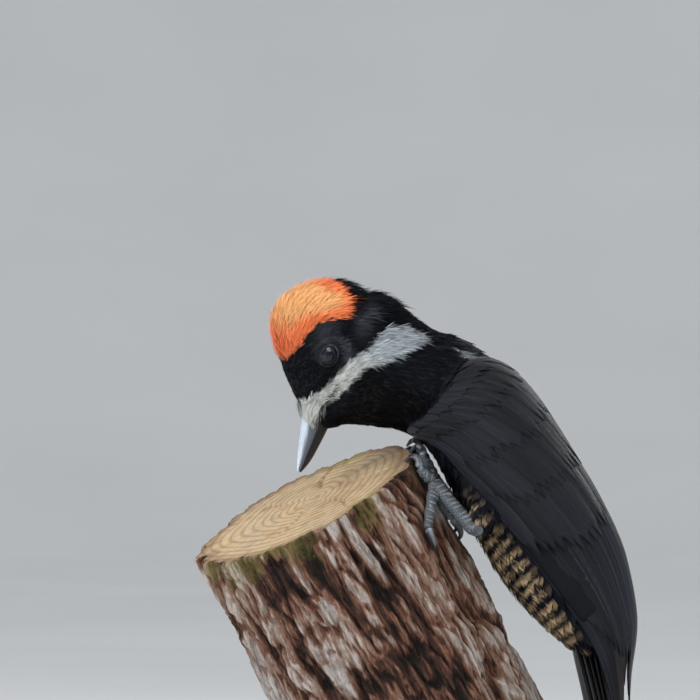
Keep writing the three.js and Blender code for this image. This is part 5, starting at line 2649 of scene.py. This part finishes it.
@dataclass
class Stand:
    """A flat wooden base and two steel rods up to the foot of the perch."""

    length: float = 236
    width: float = 170
    height: float = 16
    corner: float = 14
    bevel: float = 2.5
    groove: tuple = ((9, 0), (9.6, -0.7), (10.6, -0.9), (11.6, -0.7), (12.2, 0), (13.4, 0))  # [inset, rise]
    rod_radius: float = 4
    rod_places: tuple[float, float] = (4, 66)
    rod_gap: float = 0.3
    collar: tuple[float, float] = (6.5, 2.2)  # radius and height

    def base(self, finish: Finish) -> Piece:
        """Makes the base, with rounded edges and a shallow groove round its top.

        Args:
            finish: What it is made of.

        Returns:
            The piece.
        """
        steps = np.linspace(0, math.pi / 2, 7)
        low = [(self.bevel * (1 - math.sin(a)), self.bevel * (1 - math.cos(a))) for a in steps]
        high = [(inset, self.height - rise) for inset, rise in reversed(low)]
        profile = [*low, *high, *((inset, self.height + sink) for inset, sink in self.groove)]
        rings = np.stack([self.outline(inset, z) for inset, z in profile])
        net = Net.capped(rings, [np.zeros(3), np.array([0, 0, self.height])])
        piece = net.piece("stand_base_wood", "stand_wood", [finish])
        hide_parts("stand_base")
        return piece

    def outline(self, inset: float, z: float) -> Array:
        """A rounded rectangle inside the base's own outline.

        Args:
            inset: How far inside.
            z: Its height.

        Returns:
            Points round it.
        """
        radius = max(self.corner - inset, 1.5)
        half = (self.length / 2 - inset - radius, self.width / 2 - inset - radius)
        turn = np.linspace(0, math.pi / 2, 10)
        corners = []
        for number, (sx, sy) in enumerate(((1, 1), (-1, 1), (-1, -1), (1, -1))):
            angle = turn + number * math.pi / 2
            x, y = sx * half[0] + radius * np.cos(angle), sy * half[1] + radius * np.sin(angle)
            corners.append(np.stack([x, y, np.full_like(x, z)], -1))
        return np.concatenate(corners)

    def rod(self, number: int, finish: Finish) -> Piece:
        """Makes one rod with a collar at its foot.

        Args:
            number: Which rod, from 0.
            finish: What it is made of.

        Returns:
            The piece.
        """
        low, high = self.height + self.rod_gap, PERCH.foot - self.rod_gap
        radius, (wide, tall) = self.rod_radius, self.collar
        shoulder = low + tall
        profile = [
            (wide - 0.4, low), (wide, low + 0.4), (wide, shoulder - 0.5), (wide - 0.5, shoulder),
            (radius + 0.3, shoulder), (radius, shoulder + 0.3), (radius, high - 0.5), (radius - 0.5, high),
        ]
        x = self.rod_places[number]
        net = Net.capped(lathe(profile, 48, x), [np.array([x, 0, low]), np.array([x, 0, high])])
        piece = net.piece(f"stand_rod_{number + 1}_steel", "stand_steel", [finish])
        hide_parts(f"stand_rod_{number + 1}")
        return piece

    def build(self, wood: Finish, steel: Finish) -> list[Piece]:
        """Makes the whole stand."""
        return [self.base(wood), *(self.rod(number, steel) for number in range(len(self.rod_places)))]


# ---- The studio ----


@dataclass(frozen=True)
class FloorFinish:
    """A plain pale floor, very slightly uneven."""

    name: str = "pale_floor"

    def make(self) -> Finish:
        """Builds the material.

        Returns:
            The material.
        """
        graph = Graph(self.name, Roughness=0.8, Specular_IOR_Level=0.2)
        cloud = graph.noise(graph.place(), 0.002, 2)
        colour = graph.ramp(cloud, ((0.3, (0.76, 0.765, 0.76)), (0.7, (0.80, 0.805, 0.80))))
        return graph.finish(colour, graph.span(cloud, 0, 1, 0.75, 0.85))


@dataclass
class Studio:
    """A pale floor that curves up far away, soft lights and the camera."""

    flat: float = 5000
    bowl: float = 3500
    camera_at: tuple[float, float] = (-37.2, 307.7)  # x and z of the middle of the view
    subject: float = -15  # y of the plane that the view's width is measured on
    distance: float = 2485
    view_width: float = 313.6
    sensor: float = 36
    lights: tuple = (
        ("key", (850, -1200, 1550), 1100, 26, (1.0, 0.985, 0.96)),
        ("fill", (-1500, -1100, 900), 1300, 44, (0.95, 0.97, 1.0)),
        ("top", (-300, 200, 1900), 1200, 10, (1.0, 1.0, 1.0)),
        ("back", (700, 1500, 1100), 1100, 10, (0.97, 0.98, 1.0)),
    )  # [name, place, width, watts, colour]
    aim: tuple[float, float, float] = (0, 0, 0.25)  # where the lights point, in metres
    surroundings: tuple = (0.93, 0.96, 1.0, 1.0)
    strength: float = 0.62

    def floor(self) -> None:
        """Makes the floor."""
        rise = np.linspace(0, math.pi / 2, 14)[1:]
        bowl = zip(self.flat + self.bowl * np.sin(rise), self.bowl * (1 - np.cos(rise)))
        rings = lathe([(400, 0), (1500, 0), (3000, 0), (self.flat, 0), *bowl], 96)
        k = np.arange(96)
        fan = np.stack([np.full(96, len(rings) * 96), k, (k + 1) % 96], -1)
        points = np.concatenate([rings.reshape(-1, 3), np.zeros((1, 3))])
        quads = grid_quads(len(rings), 96, closed=True)[:, ::-1]
        mesh = bpy.data.meshes.new("floor")
        mesh.from_pydata((points * MM).tolist(), [], [*quads.tolist(), *fan.tolist()])
        mesh.materials.append(FloorFinish().make())
        mesh.shade_smooth()
        floor = placed("floor", mesh)
        floor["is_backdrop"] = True

    def light(self) -> None:
        """Makes the lights and the pale surroundings."""
        for name, place, width, watts, colour in self.lights:
            lamp = bpy.data.lights.new(name, "AREA")
            lamp.size = width * MM
            lamp.energy = watts
            lamp.color = colour
            holder = placed(name, lamp)
            holder.location = Vector(place) * MM
            holder.rotation_euler = (Vector(self.aim) - holder.location).to_track_quat("-Z", "Y").to_euler()
        world = bpy.data.worlds.new("surroundings")
        world.use_nodes = True
        colour, strength = world.node_tree.nodes["Background"].inputs[:2]
        colour.default_value, strength.default_value = self.surroundings, self.strength
        bpy.context.scene.world = world
        bpy.context.scene.view_settings.view_transform = "Standard"

    def camera(self) -> None:
        """Makes the camera."""
        lens = bpy.data.cameras.new("camera")
        lens.sensor_width = self.sensor
        lens.lens = self.sensor * self.distance / self.view_width
        lens.clip_start = 0.05
        lens.clip_end = 50
        camera = placed("camera", lens)
        x, z = self.camera_at
        camera.location = Vector((x, self.subject - self.distance, z)) * MM
        camera.rotation_euler = (math.pi / 2, 0, 0)
        bpy.context.scene.camera = camera

    def build(self) -> None:
        """Sets up the whole studio."""
        self.floor()
        self.light()
        self.camera()


# ---- Putting it together ----


def corners(bounds: Iterable[Iterable[float]]) -> list[list[float]]:
    """A box as plain lists of numbers."""
    return [[float(value) for value in corner] for corner in bounds]


def main() -> None:
    logging.basicConfig(level=logging.INFO, format="%(name)s: %(message)s")
    cad_box = corners(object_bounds())
    big_feathers = FeatherFinish(
        "flight_feathers", 0.42, 0.01, 0.14, (0.5, 1.6), barbs=120, slant=14, root_painted_shade=0.7, edge=3.0
    ).make()
    bare = PaintedFinish("bare_skin", 0.7, 0.1, grain=3).make()
    horn = PaintedFinish("horn", 0.33, 0.36, 0.08, grain=3.0, depth=0.03, stretch=(1, 1, 0.35)).make()
    scales = PaintedFinish("foot_scales", 0.6, 0.3, grain=2.6, depth=0.14, mottle=(0.6, 1.4)).make()
    eye = PaintedFinish("eye", 0.05, 0.28, uneven=0.01, grain=0.8, depth=0.0, mottle=(0.9, 1.1)).make()

    skin = Skin()
    skin.build(bare)
    Plumage().build(skin)
    for side in (BIRD_LEFT, BIRD_RIGHT):
        WingFeathers(side).build(f"wing_{side_name(side)}_feathers", big_feathers)
        Eye(side).ball(skin, eye)
        Eye(side).lids(skin, bare)
        Foot(side).build(scales, horn)
    Tail().build(big_feathers)
    bill = Bill()
    for jaw in Jaw:
        bill.half(jaw, horn)
    Perch().build(BarkFinish().make(), SawnFinish().make())
    Stand().build(StainedWoodFinish().make(), SteelFinish().make())
    Studio().build()

    {"cad": cad_box, "visual": corners(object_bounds())}


if __name__ == "__main__":
    main()
